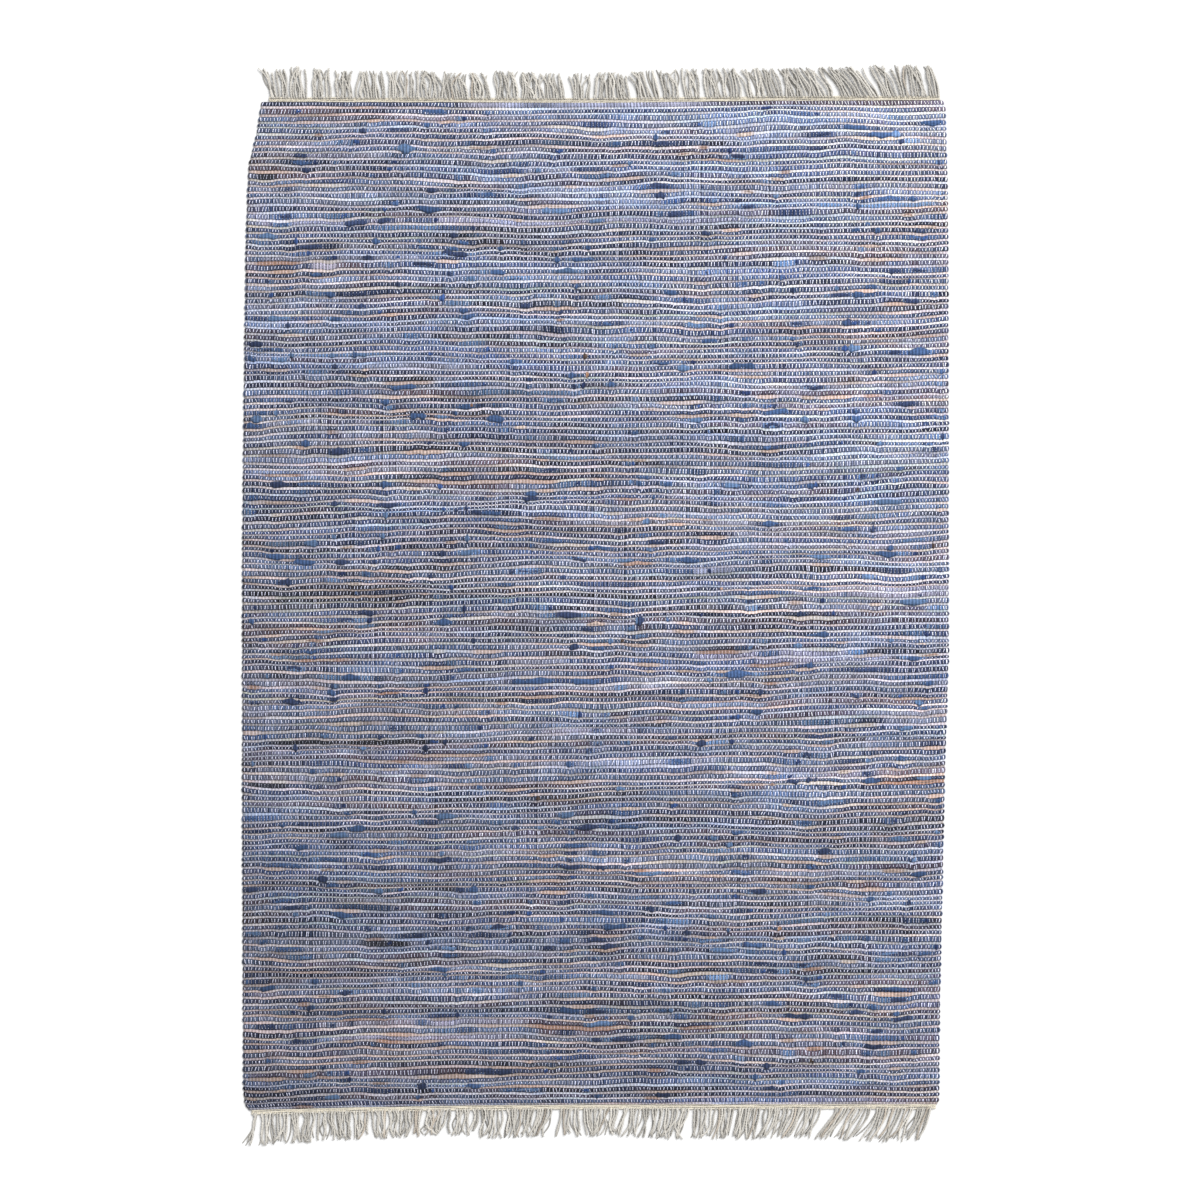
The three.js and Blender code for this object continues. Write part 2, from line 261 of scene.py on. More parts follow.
class YarnSettings(PropertyGroup):
    """Sizes of the warp, of its fringe and of the headings"""

    float_width: FloatProperty(
        name="Float width", description="Width of a warp float", default=0.0026, unit="LENGTH",
    )
    float_rise: FloatProperty(
        name="Float rise", description="Its height on the rag", default=0.00035, unit="LENGTH",
    )
    float_slant: FloatProperty(
        name="Slant", description="How far a float leans", default=0.0005, unit="LENGTH",
    )
    bead_width: FloatProperty(
        name="Bead width", description="Width of a fine float", default=0.0030, unit="LENGTH",
    )
    bead_rise: FloatProperty(
        name="Bead rise", description="Its height on the fine pick", default=0.0006, unit="LENGTH",
    )
    knots: IntProperty(name="Knots", description="Rag knots on the face", default=170)
    lumps: IntProperty(name="Lumps", description="Ragged lumps on the rag picks", default=650)
    fine_lumps: IntProperty(
        name="Fine lumps", description="Ragged lumps on the fine picks", default=160,
    )
    strand_pitch: FloatProperty(
        name="Pitch", description="Between strands", default=0.0054, unit="LENGTH",
    )
    ply: FloatProperty(name="Ply", description="Radius of one ply", default=0.00142, unit="LENGTH")
    lay: FloatProperty(
        name="Lay", description="Radius on which two plies twist", default=0.0011, unit="LENGTH",
    )
    twist: FloatProperty(
        name="Twist", description="Length of one turn of the plies", default=0.011, unit="LENGTH",
    )
    under_pitch: FloatProperty(
        name="Under pitch", description="Between strands of the under layer", default=0.0125, unit="LENGTH",
    )
    under_ply: FloatProperty(
        name="Under ply", description="Radius of a strand of the under layer", default=0.0014, unit="LENGTH",
    )
    heading_rows: IntProperty(name="Heading picks", description="Cream picks of a heading", default=3)
    heading_depth: FloatProperty(
        name="Heading", description="Depth of a heading", default=0.010, unit="LENGTH",
    )
    seed: IntProperty(name="Seed", description="Seed of the yarns' differences", default=11)


class ColourSettings(PropertyGroup):
    """Colours of the yarns and of the floor"""

    warp: FloatVectorProperty(
        name="Warp", description="Warp floats", default=(0.785, 0.81, 1.0), subtype="COLOR",
    )
    heading: FloatVectorProperty(
        name="Heading", description="Cream picks", default=(0.579, 0.536, 0.446), subtype="COLOR",
    )
    fringe: FloatVectorProperty(
        name="Fringe", description="Loose warp", default=(0.45, 0.43, 0.393), subtype="COLOR",
    )
    tan: FloatVectorProperty(
        name="Tan", description="Stained strands", default=(0.398, 0.353, 0.30), subtype="COLOR",
    )
    floor: FloatVectorProperty(
        name="Floor", description="Pale floor", default=(0.70, 0.70, 0.70), subtype="COLOR",
    )


class StudioSettings(PropertyGroup):
    """Camera, floor and light"""

    view: FloatProperty(
        name="View", description="Width of floor in the frame", default=2.4, unit="LENGTH",
    )
    camera_x: FloatProperty(
        name="Camera X", description="Camera beside the origin", default=0.009, unit="LENGTH",
    )
    camera_y: FloatProperty(
        name="Camera Y", description="Camera along the rug", default=0.010, unit="LENGTH",
    )
    camera_z: FloatProperty(
        name="Camera height", description="Above the floor", default=8.0, unit="LENGTH",
    )
    floor: FloatProperty(name="Floor", description="Side of the floor", default=120.0, unit="LENGTH")
    ambient: FloatProperty(
        name="Ambient", description="Strength of the light from all round", default=0.8,
    )
    lamp: FloatProperty(name="Lamp", description="Strength of the soft lamp", default=3.47)
    lamp_angle: FloatProperty(
        name="Softness", description="How wide the lamp looks", default=0.6, subtype="ANGLE",
    )
    lamp_tilt: FloatProperty(
        name="Tilt", description="Of the lamp from straight above", default=0.75, subtype="ANGLE",
    )
    lamp_turn: FloatProperty(
        name="Turn", description="Of the lamp from the near side", default=2.5, subtype="ANGLE",
    )


def linear(shade):
    """Red, green and blue from 0 to 255, on the usual curve of screens, as shares of light."""
    share = np.asarray(shade, float) / 255
    return np.where(share <= 0.04045, share / 12.92, ((share + 0.055) / 1.055) ** 2.4)


def column(table, at):
    """A table's second column at a place along its first, straight between two rows."""
    return np.interp(at, table[:, 0], table[:, 1])


def plan(across, share):
    """Places in plan, by shares of the cloth's width from the left and of its length from the far end."""
    along = share * LENGTH / MM
    left = -WIDTH / 2 + column(LEFT_SELVEDGE, along) * MM
    right = WIDTH / 2 - column(RIGHT_SELVEDGE, along) * MM
    far = FAR_Y + column(FAR_BOW, across) * MM
    near = FAR_Y - LENGTH - column(NEAR_BOW, across) * MM
    return left + (right - left) * across, far + (near - far) * share


def settings(name):
    """One of the rug's groups of settings."""
    return getattr(bpy.context.scene, name)


class Weave:
    """The picks of the cloth: where each one lies, how thick it is and which shades its strips have."""

    # Middle length of a thick stretch in metres, and how widely the lengths spread
    SLUB_LENGTH, SLUB_SPREAD = 0.026, 0.8
    FINE_SLUB_LENGTH, FINE_SLUB_SPREAD = 0.05, 0.6

    # How thick a strewn stretch is at least, and how much more it can be
    LEAST_SWELL, MORE_SWELL = 0.45, 0.5
    # Its rise before it is cut off at 1: in its middle, and the fall from there over half its length
    SWELL_HEAD, SWELL_FALL = 2.2, 2
    # A stretch hides this many times its thickness of the pick's own shade, up to all of it
    SLUB_COVER, FINE_SLUB_COVER = 1.6, 1.4

    # Strips of one shade that a pick is made of: weight, middle length in metres and spread of lengths
    RAG_STRIPS = ((0.65, 0.12, 0.8), (0.35, 0.035, 0.6))
    FINE_STRIPS = ((0.5, 0.26, 0.8), (0.5, 0.03, 0.6))
    # Strips are drawn for this many times the way along all picks, so that they fill it
    SPARE = 2
    # Spread of a strip's tone, and how strongly pale patches draw the later shades of a table
    SHADE_SPREAD, PALE_PULL = 0.12, 0.6

    # Patches: spacing across in metres, and the part that each pick keeps of the one before
    PALE_RAGS = (0.25, 0.6)
    PALE_FINES = (0.2, 0.6)
    SMALL_PATCHES = (0.10, 0.2)
    WIDE_PATCHES = (0.6, 0.93)
    # The same for warm patches, each kind with its part before them
    WARM_PATCHES = ((0.55, 0.22, 0.75), (0.7, 0.07, 0.4))
    # Strength of the patches' light and dark, on all yarns and on the rags besides, and of their warmth
    SMALL_STRENGTH, PALE_STRENGTH, WIDE_STRENGTH = 0.11, 0.06, 0.05
    PATCH_FADE, RAG_PATCH_FADE = 0.55, 0.6
    RAG_WARMTH, FINE_WARMTH = 0.06, 0.07
    TO_WARM = np.array([1, 0, -1])

    # Painted light and shade, lighter at the far end and to the right: from the far to the near end, and
    # from left to right
    PAINTED_LIGHT_ALONG = (1.0, 0.613)
    PAINTED_LIGHT_ACROSS = (0.80, 1.20)
    # Tone of the fine picks: its mean, its spread, and its spacing in metres
    FINE_TONE, FINE_TONE_SPREAD, FINE_TONE_SPACING = 0.96, 0.15, 0.04
    # Tone of the rag picks: its spread from pick to pick, then spread and spacing along each one
    ROW_SPREAD = 0.07
    RAG_TONES = ((0.18, 0.02), (0.12, 0.2))

    # Unevenness along the picks: spacing and height of the rags' crowns in metres, and of the fine share
    UNEVEN_SPACING, UNEVEN_CROWN, UNEVEN_SHARE = 0.03, 0.00025, 0.12
    # What a thick stretch adds to a crown and to a fine pick in metres, and to the fine pick's share
    SLUB_RISE, FINE_SLUB_RISE, FINE_SLUB_SHARE = 0.0008, 0.0009, 0.22

    # How the picks stray: spacing across and push in metres, and the part that the next pick keeps
    STRAYS = ((0.022, 0.0002, 0.5), (0.05, 0.0010, 0.5), (0.13, 0.0017, 0.75), (0.4, 0.0010, 0.95))
    # How far a thick stretch pushes the next picks, in metres, and the part that each one passes on
    SLUB_BULGE, FINE_SLUB_BULGE, BULGE_KEPT = 0.0030, 0.0034, 0.5
    # Share of the length over which picks get straight towards an end, and the least share of the pitch
    STRAIGHT_END = 0.015
    LEAST_PITCH = 0.5

    def __init__(self, size):
        self.size = size
        self.rng = np.random.default_rng(size.seed)
        self.places = 2 * size.ribs + 1
        self.across = np.linspace(0, 1, self.places)
        self.slub, slub_shade, self.strewn = self.stretches(
            size.slubs, self.SLUB_LENGTH, self.SLUB_SPREAD, SLUB_SHADES, RAG_MARKS
        )
        self.fine_slub, fine_slub_shade, self.fine_strewn = self.stretches(
            size.fine_slubs, self.FINE_SLUB_LENGTH, self.FINE_SLUB_SPREAD, FINE_SLUB_SHADES, FINE_MARKS
        )
        self.dye(slub_shade, fine_slub_shade)
        self.edge = self.beaten()
        uneven = self.UNEVEN_CROWN * self.noise(size.pairs, self.UNEVEN_SPACING)
        self.crown = size.crown + uneven + self.SLUB_RISE * self.slub
        self.fine_height = size.fine + self.FINE_SLUB_RISE * self.fine_slub
        uneven = 1 + self.UNEVEN_SHARE * self.noise(size.pairs, self.UNEVEN_SPACING)
        self.fine_share = size.fine_share * uneven + self.FINE_SLUB_SHARE * self.fine_slub

    def dye(self, slub_shade, fine_slub_shade):
        """Sets the shades of the rag and fine picks, and painted light with random patches on all yarns."""
        pairs = self.size.pairs
        pale = self.drift(*self.PALE_RAGS)
        self.rag = self.strips(self.RAG_STRIPS, RAG_SHADES, pale)
        cover = np.minimum(1, self.SLUB_COVER * self.slub)
        self.rag += (slub_shade - self.rag) * cover[..., None]
        patches = self.SMALL_STRENGTH * self.drift(*self.SMALL_PATCHES) + self.PALE_STRENGTH * pale
        patches += self.WIDE_STRENGTH * self.drift(*self.WIDE_PATCHES)
        self.fine = self.strips(self.FINE_STRIPS, FINE_SHADES, self.drift(*self.PALE_FINES))
        tone = self.FINE_TONE + self.FINE_TONE_SPREAD * self.noise(pairs, self.FINE_TONE_SPACING)
        self.fine *= tone[..., None]
        cover = np.minimum(1, self.FINE_SLUB_COVER * self.fine_slub)
        self.fine += (fine_slub_shade - self.fine) * cover[..., None]
        # Painted light: lighter towards the far end and the right, times random patches of light and dark
        painted_light_slope = np.linspace(*self.PAINTED_LIGHT_ALONG, pairs)[:, None] * np.linspace(*self.PAINTED_LIGHT_ACROSS, self.places)
        self.fade = painted_light_slope * np.exp(self.PATCH_FADE * patches)
        warmth = sum(part * self.drift(spacing, kept) for part, spacing, kept in self.WARM_PATCHES)
        warmth = warmth[..., None] * self.TO_WARM
        # The rags and fine picks take on this painted light and the patches, and the warmth
        tone = self.fade * self.tones() * np.exp(self.RAG_PATCH_FADE * patches)
        self.rag *= tone[..., None] * np.exp(self.RAG_WARMTH * warmth)
        self.fine *= self.fade[..., None] * np.exp(self.FINE_WARMTH * warmth)

    def noise(self, rows, spacing):
        """Rows of smooth noise along the picks, of unit strength, that turns over a spacing in metres."""
        knots = np.arange(-1, WIDTH / spacing + 2) * spacing
        weights = np.exp(-(((self.across * WIDTH)[:, None] - knots) / spacing) ** 2)
        weights /= np.linalg.norm(weights, axis=1, keepdims=True)
        return self.rng.standard_normal((rows, len(knots))) @ weights.T

    def drift(self, spacing, kept):
        """Patches of unit strength: noise in which each pick keeps a part of the one before."""
        pushes = self.noise(self.size.pairs, spacing)
        rows = [pushes[0]]
        for push in pushes[1:]:
            rows.append(kept * rows[-1] + np.sqrt(1 - kept ** 2) * push)
        return np.array(rows)

    def shades(self, shades, share, pale=0.0):
        """A shade for each of many strips, from those common at each one's share of the length."""
        table = np.array(list(shades.values()))
        pick = self.rng.random(len(share))
        pick = pick / (pick + (1 - pick) * np.exp(-self.PALE_PULL * pale))
        far = np.searchsorted(np.cumsum(table[:, 3]), pick)
        near = np.searchsorted(np.cumsum(table[:, 4]), pick)
        choice = np.where(self.rng.random(len(share)) < share, near, far)
        tone = 1 + self.SHADE_SPREAD * self.rng.standard_normal((len(share), 1))
        return linear(table[np.minimum(choice, len(table) - 1), :3]) * tone

    def runs(self, median, spread, shades, pale):
        """The shade at each place of the picks, laid to and fro in strips about as long as the median."""
        pairs = self.size.pairs
        path = pairs * WIDTH
        lengths = median * np.exp(spread * self.rng.standard_normal(int(self.SPARE * path / median)))
        ends = np.cumsum(lengths)
        to = np.arange(pairs)[:, None] * WIDTH + self.across * WIDTH
        fro = np.arange(pairs)[:, None] * WIDTH + (1 - self.across) * WIDTH
        place = np.where(np.arange(pairs)[:, None] % 2 == 0, to, fro)
        middle = np.minimum(ends - lengths / 2, path - MM)
        row = (middle / WIDTH).astype(int)
        part = middle / WIDTH - row
        at = np.round(np.where(row % 2 == 0, part, 1 - part) * (self.places - 1)).astype(int)
        strips = self.shades(shades, row / pairs, pale[row, at])
        return strips[np.searchsorted(ends, place)]

    def strips(self, kinds, shades, pale):
        """The mixed shade at each place of the picks, from long and from short strips."""
        return sum(weight * self.runs(median, spread, shades, pale) for weight, median, spread in kinds)

    def marked(self, shades, marks):
        """Rows, middles, lengths and shades of the stretches that stand out."""
        names = [name for name, places in marks.items() for _ in places]
        places = np.array([place for places in marks.values() for place in places]) * MM
        share = (FAR_Y - places[:, 2]) / LENGTH
        rows = np.clip(share * self.size.pairs, 0, self.size.pairs - 1).astype(int)
        middles = (places[:, 0] + places[:, 1]) / 2 / WIDTH + 0.5
        return rows, middles, places[:, 1] - places[:, 0], linear([shades[name][:3] for name in names])

    def stretches(self, count, median, spread, shades, marks):
        """Thick stretches: how thick each place is, from 0 to 1, its shade, and the strewn ones' places."""
        swell = np.zeros((self.size.pairs, self.places))
        shade = np.zeros((self.size.pairs, self.places, 3))
        rows = self.rng.integers(1, self.size.pairs - 1, count)
        middles = self.rng.random(count)
        lengths = median * np.exp(spread * self.rng.standard_normal(count))
        colours = self.shades(shades, rows / self.size.pairs)
        strength = self.LEAST_SWELL + self.MORE_SWELL * self.rng.random(count)
        marked = self.marked(shades, marks)
        strewn = rows, middles, lengths
        every = [np.concatenate(both) for both in zip((*strewn, colours), marked)]
        strength = np.concatenate([strength, np.ones(len(marked[0]))])
        for row, middle, length, colour, strong in zip(*every, strength):
            off = np.abs(self.across - middle) * WIDTH / (length / 2)
            here = strong * np.clip(self.SWELL_HEAD - self.SWELL_FALL * off, 0, 1)
            shade[row][here > swell[row]] = colour
            swell[row] = np.maximum(swell[row], here)
        return swell, shade, strewn

    def tones(self):
        """Light and dark of the rag picks, pick by pick and along each one."""
        pairs = self.size.pairs
        tone = 1 + self.ROW_SPREAD * self.rng.standard_normal((pairs, 1))
        along = 1
        for spread, spacing in self.RAG_TONES:
            along = along + spread * self.noise(pairs, spacing)
        return tone * along

    def beaten(self):
        """Edges between the pairs as shares of the length, which stray and are evened out again."""
        pairs = self.size.pairs
        stray = np.zeros((pairs + 1, self.places))
        for spacing, step, kept in self.STRAYS:
            pushes = step * self.noise(pairs + 1, spacing)
            part = np.zeros(self.places)
            for pair in range(pairs + 1):
                part = kept * part + pushes[pair]
                stray[pair] += part
        bulge = np.zeros(self.places)
        for pair in range(pairs):
            extra = self.SLUB_BULGE * self.slub[pair] + self.FINE_SLUB_BULGE * self.fine_slub[pair]
            bulge = self.BULGE_KEPT * bulge + extra
            stray[pair + 1] += bulge
        share = np.linspace(0, 1, pairs + 1)[:, None]
        stray *= np.clip(share / self.STRAIGHT_END, 0, 1) * np.clip((1 - share) / self.STRAIGHT_END, 0, 1)
        edge = share + stray / LENGTH
        thin = self.LEAST_PITCH / pairs
        for pair in range(1, pairs + 1):
            edge[pair] = np.maximum(edge[pair], edge[pair - 1] + thin)
        return edge / edge[-1]

    def at(self, field, across):
        """A field of the picks at other shares of the width."""
        place = np.clip(across, 0, 1) * (self.places - 1)
        low = np.minimum(place.astype(int), self.places - 2)
        part = place - low
        return field[:, low] * (1 - part) + field[:, low + 1] * part

    def nearest(self, across):
        """The numbers of the places nearest to other shares of the width."""
        return np.round(np.clip(across, 0, 1) * (self.places - 1)).astype(int)


@functools.cache
def weave():
    """The one weave that the cloth, its warp floats and its knots share."""
    return Weave(settings("rug_weave"))


def mesh_object(name, points, faces):
    """A smooth object from an array of points and arrays of faces, each with equally many corners."""
    mesh = bpy.data.meshes.new(name)
    corners = np.concatenate([group.ravel() for group in faces])
    sizes = np.concatenate([np.full(len(group), group.shape[1]) for group in faces])
    mesh.vertices.add(len(points))
    mesh.vertices.foreach_set("co", np.asarray(points, np.float32).ravel())
    mesh.loops.add(len(corners))
    mesh.loops.foreach_set("vertex_index", corners.astype(np.int32))
    mesh.polygons.add(len(sizes))
    mesh.polygons.foreach_set("loop_start", (np.cumsum(sizes) - sizes).astype(np.int32))
    mesh.polygons.foreach_set("use_smooth", np.full(len(sizes), True))
    mesh.update(calc_edges=True)
    if mesh.validate():
        raise RuntimeError(f"{name} has faces that Blender can't use")
    piece = bpy.data.objects.new(name, mesh)
    bpy.context.scene.collection.objects.link(piece)
    return piece


def give_colour(piece, name, colours):
    """Stores a colour for each point of a piece, never quite black and never over white."""
    stored = piece.data.attributes.new(name, "FLOAT_COLOR", "POINT")
    full = np.ones((len(colours), 4), np.float32)
    full[:, :3] = np.clip(colours, DARKEST, 1)
    stored.data.foreach_set("color", full.ravel())


def give_map(piece, name, places):
    """Stores a UV map from a place for each point of a piece."""
    corners = np.zeros(len(piece.data.loops), np.int32)
    piece.data.loops.foreach_get("vertex_index", corners)
    layer = piece.data.uv_layers.new(name=name)
    layer.uv.foreach_set("vector", np.asarray(places, np.float32)[corners].ravel())


def finish_piece(piece, material, node=None):
    """Gives a piece its material, its body and the solid that it stands for."""
    piece.data.materials.append(material)
    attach(piece, "root")
    if node:
        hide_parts(node)


def grid_faces(ids, flip=False):
    """Quads over a table of point numbers, facing up where rows run to -Y and columns to +X."""
    quads = np.stack([ids[:-1, :-1], ids[1:, :-1], ids[1:, 1:], ids[:-1, 1:]], axis=-1).reshape(-1, 4)
    return quads[:, ::-1] if flip else quads


def fan_faces(fine, coarse, flip=False):
    """Triangles of a wall between a fine row of points above and a coarse one below."""
    match = np.round(np.linspace(0, len(fine) - 1, len(coarse))).astype(int)
    faces = []
    for step in range(len(coarse) - 1):
        for place in range(match[step], match[step + 1]):
            faces.append((coarse[step], fine[place + 1], fine[place]))
        faces.append((coarse[step], coarse[step + 1], fine[match[step + 1]]))
    faces = np.array(faces)
    return faces[:, ::-1] if flip else faces


def pick_lines(cloth, across):
    """Lines over the picks from the far end on: their shares of the length and their weave places."""
    pairs = cloth.size.pairs
    edge = cloth.at(cloth.edge, across)
    cell = np.diff(edge, axis=0)
    rag_share = 1 - cloth.at(cloth.fine_share, across)
    shares = []
    for place in RAG_LINES:
        shares.append(edge[:-1] + cell * rag_share * place / FINE_EDGE)
    shares.append(edge[:-1] + cell * (1 + rag_share) / 2)
    lines = np.stack(shares, axis=1).reshape(-1, len(across))
    ends = np.zeros((1, len(across)))
    pair = np.arange(pairs)[:, None] + np.array([*RAG_LINES, FINE_LINE])
    return np.concatenate([ends, lines, ends + 1]), np.concatenate([[0], pair.ravel(), [pairs]])


def line_heights(rag, shoulder, fine, end):
    """Heights over all the pick lines, from those of the rag picks, their sides and the fine picks."""
    rows = np.stack([shoulder, rag, shoulder, fine], axis=1).reshape(-1, rag.shape[1])
    ends = np.full((1, rag.shape[1]), end)
    return np.concatenate([ends, rows, ends])


def line_shades(cloth, across):
    """Shades of the rag pick and of the fine pick that show at each pick line."""
    rag = cloth.rag[:, cloth.nearest(across)]
    fine = cloth.fine[:, cloth.nearest(across)]
    after = np.concatenate([rag[1:], rag[-1:]])
    before = np.concatenate([fine[:1], fine[:-1]])
    rags = np.stack([rag, rag, rag, (rag + after) / 2], axis=1).reshape(-1, len(across), 3)
    fines = np.stack([before, (before + fine) / 2, fine, fine], axis=1).reshape(-1, len(across), 3)
    rags = np.concatenate([rags[:1], rags, rags[-1:]])
    fines = np.concatenate([fines[:1], fines, fines[-1:]])
    return rags.reshape(-1, 3), fines.reshape(-1, 3)


class RUG_OT_rag_cloth(Operator):
    """Weave the cloth: rag picks and fine picks, turn about, as one closed sheet"""

    bl_idname = "rug.rag_cloth"
    bl_label = "Rag cloth"

    # How far the lines of a pair stand out of the selvedge, as shares of the rag pick's own turn
    TURNS = (0.6, 1, 0.6, -0.3)
    # The least turn of a rag pick, as a share of the loop that is set
    LEAST_TURN = 0.5
    # Height of the selvedge as a share of the picks', and where the underside begins in its rounding
    RIM_HEIGHT = 0.55
    RIM_INSET = 0.4
    # Height of the sides of the underside's rags, as a multiple of their middles'
    UNDER_SHOULDER = 2

    def selvedge_loops(self, cloth):
        """How far each pick line stands out of the left and of the right selvedge, where rags turn."""
        depth = cloth.size.loop * (self.LEAST_TURN + cloth.rng.random((2, cloth.size.pairs)))
        out = np.stack([turn * depth for turn in self.TURNS], axis=2).reshape(2, -1)
        return np.pad(out, ((0, 0), (1, 1)))

    def execute(self, context):
        cloth = weave()
        size = cloth.size
        rim = size.round_in / WIDTH
        across = np.concatenate([[0], np.linspace(rim, 1 - rim, size.columns - 1), [1]])
        share, place = pick_lines(cloth, across)
        crown = cloth.at(cloth.crown, across)
        fine = cloth.at(cloth.fine_height, across)
        height = line_heights(crown, fine + size.shoulder * (crown - fine), fine, size.fine)
        x, y = plan(across, share)
        out = self.selvedge_loops(cloth)
        x[:, 0] -= out[0]
        x[:, -1] += out[1]
        height[:, [0, -1]] *= self.RIM_HEIGHT
        upper = np.stack([x, y, height], axis=-1)

        under = np.linspace(0, 1, size.under_columns + 1)
        under_share, _ = pick_lines(cloth, under)
        levels = (size.under, self.UNDER_SHOULDER * size.under, size.under_fine)
        depth = line_heights(*[np.full((size.pairs, len(under)), level) for level in levels], size.under)
        under_x, under_y = plan(under, under_share)
        under_x[:, 0] = x[:, 0] + self.RIM_INSET * size.round_in
        under_x[:, -1] = x[:, -1] - self.RIM_INSET * size.round_in
        lower = np.stack([under_x, under_y, depth], axis=-1)

        top = np.arange(share.size).reshape(share.shape)
        bottom = share.size + np.arange(under_share.size).reshape(under_share.shape)
        faces = [
            grid_faces(top),
            grid_faces(bottom, flip=True),
            grid_faces(np.stack([bottom[:, 0], top[:, 0]], axis=1)),
            grid_faces(np.stack([top[:, -1], bottom[:, -1]], axis=1)),
            fan_faces(top[0], bottom[0], flip=True),
            fan_faces(top[-1], bottom[-1]),
        ]
        points = np.concatenate([upper.reshape(-1, 3), lower.reshape(-1, 3)])
        piece = mesh_object("rag_cloth_woven", points, faces)
        both = zip(line_shades(cloth, across), line_shades(cloth, under))
        for name, shades in zip(("rag", "fine"), both):
            give_colour(piece, name, np.concatenate(shades))
        maps = [np.meshgrid(places * size.ribs, place) for places in (across, under)]
        weave_map = np.concatenate([np.stack([u.ravel(), v.ravel()], axis=1) for u, v in maps])
        give_map(piece, WEAVE_MAP, weave_map)
        finish_piece(piece, rag_material(), "rag_cloth")
        return {"FINISHED"}


def wander(rng, rows, yarns):
    """How far each warp yarn strays to the side of its straight line at each pair of picks."""
    pushes = YARN_PUSH * rng.standard_normal((rows, yarns))
    strays = [pushes[0]]
    for push in pushes[1:]:
        strays.append(YARN_KEPT * strays[-1] + push)
    return np.array(strays)


class RUG_OT_warp_floats(Operator):
    """Lay the warp yarns that cross over each rag pick, in three stretches of the rug"""

    bl_idname = "rug.warp_floats"
    bl_label = "Warp floats"

    # A float's points: its start, three across where it comes up, three where it goes down, and its end
    TRIANGLES = np.array([(0, 1, 2), (0, 2, 3), (0, 3, 1), (7, 5, 4), (7, 6, 5), (7, 4, 6)])
    QUADS = np.array([(1, 4, 5, 2), (2, 5, 6, 3), (3, 6, 4, 1)])
    POINTS = 8
    # Shares of a pair: where it comes up inside the rag pick, and how far it dips in beyond it
    INSET, OVERHANG = 0.16, 0.05
    # Depths in metres of its ends below the fine pick, and of its sides below the rag pick's crown
    END_DEPTH, SIDE_DEPTH = 0.0004, 0.0007
    # Spread of its width, and of its place in metres
    WIDTH_SPREAD, NUDGE = 0.2, 0.0004
    # Its slant: mean and spread as shares of the one that is set, and the part of it where it comes up
    SLANT, SLANT_SPREAD, SLANT_INSIDE = 0.25, 1.1, 0.6
    # How much a slub narrows, sinks and darkens it
    SLUB_NARROW, SLUB_SINK, SLUB_DARK = 0.4, 0.8, 0.3
    # Spread of the tint from yarn to yarn, and from float to float
    YARN_TINT, FLOAT_TINT = 0.02, 0.15
    STRETCHES = ("far", "middle", "near")

    def execute(self, context):
        cloth = weave()
        yarn = settings("rug_yarn")
        rng = np.random.default_rng(yarn.seed)
        ribs = cloth.size.ribs
        pairs = cloth.size.pairs
        across = (np.arange(ribs) + 0.5) / ribs
        edge = cloth.at(cloth.edge, across)
        cell = np.diff(edge, axis=0)
        rag_share = 1 - cloth.at(cloth.fine_share, across)
        crown = cloth.at(cloth.crown, across)
        slub = cloth.at(cloth.slub, across)
        spread = rng.standard_normal((3, pairs, ribs))
        half = yarn.float_width / 2 * (1 + self.WIDTH_SPREAD * spread[0]) * (1 - self.SLUB_NARROW * slub)
        slant = yarn.float_slant * (self.SLANT + self.SLANT_SPREAD * spread[1])
        nudge = self.NUDGE * spread[2] + wander(rng, pairs, ribs)
        top = crown + yarn.float_rise * (1 - self.SLUB_SINK * slub)
        low = crown - self.SIDE_DEPTH
        sunk = cloth.at(cloth.fine_height, across) - self.END_DEPTH
        points = np.zeros((pairs, ribs, self.POINTS, 3))
        for first, at, lean in ((0, -self.OVERHANG, 1), (7, rag_share + self.OVERHANG, -1)):
            x, y = plan(across, edge[:-1] + cell * at)
            points[:, :, first] = np.stack([x + nudge + lean * slant, y, sunk], axis=-1)
        inside = self.SLANT_INSIDE
        for first, at, lean in ((1, self.INSET, inside), (4, rag_share - self.INSET, -inside)):
            x, y = plan(across, edge[:-1] + cell * at)
            x = x + nudge + lean * slant
            points[:, :, first] = np.stack([x - half, y, low], axis=-1)
            points[:, :, first + 1] = np.stack([x, y, top], axis=-1)
            points[:, :, first + 2] = np.stack([x + half, y, low], axis=-1)
        tint = 1 + self.YARN_TINT * rng.standard_normal((1, ribs))
        tint = tint + self.FLOAT_TINT * rng.standard_normal((pairs, ribs))
        # Painted light slope and random patches of the cloth on each float, times the slub's darkening
        tint = tint * (1 - self.SLUB_DARK * slub) * cloth.at(cloth.fade, across)
        tint = np.repeat(tint[..., None, None], self.POINTS, axis=2)
        shade = np.array(settings("rug_colours").warp) * tint
        stops = np.linspace(0, pairs, len(self.STRETCHES) + 1).astype(int)
        for name, start, stop in zip(self.STRETCHES, stops, stops[1:]):
            first = (self.POINTS * np.arange((stop - start) * ribs))[:, None, None]
            faces = [(first + self.TRIANGLES).reshape(-1, 3), (first + self.QUADS).reshape(-1, 4)]
            piece = mesh_object(f"warp_floats_{name}", points[start:stop].reshape(-1, 3), faces)
            give_colour(piece, "tint", shade[start:stop].reshape(-1, 3))
            finish_piece(piece, yarn_material("warp yarn"))
        return {"FINISHED"}


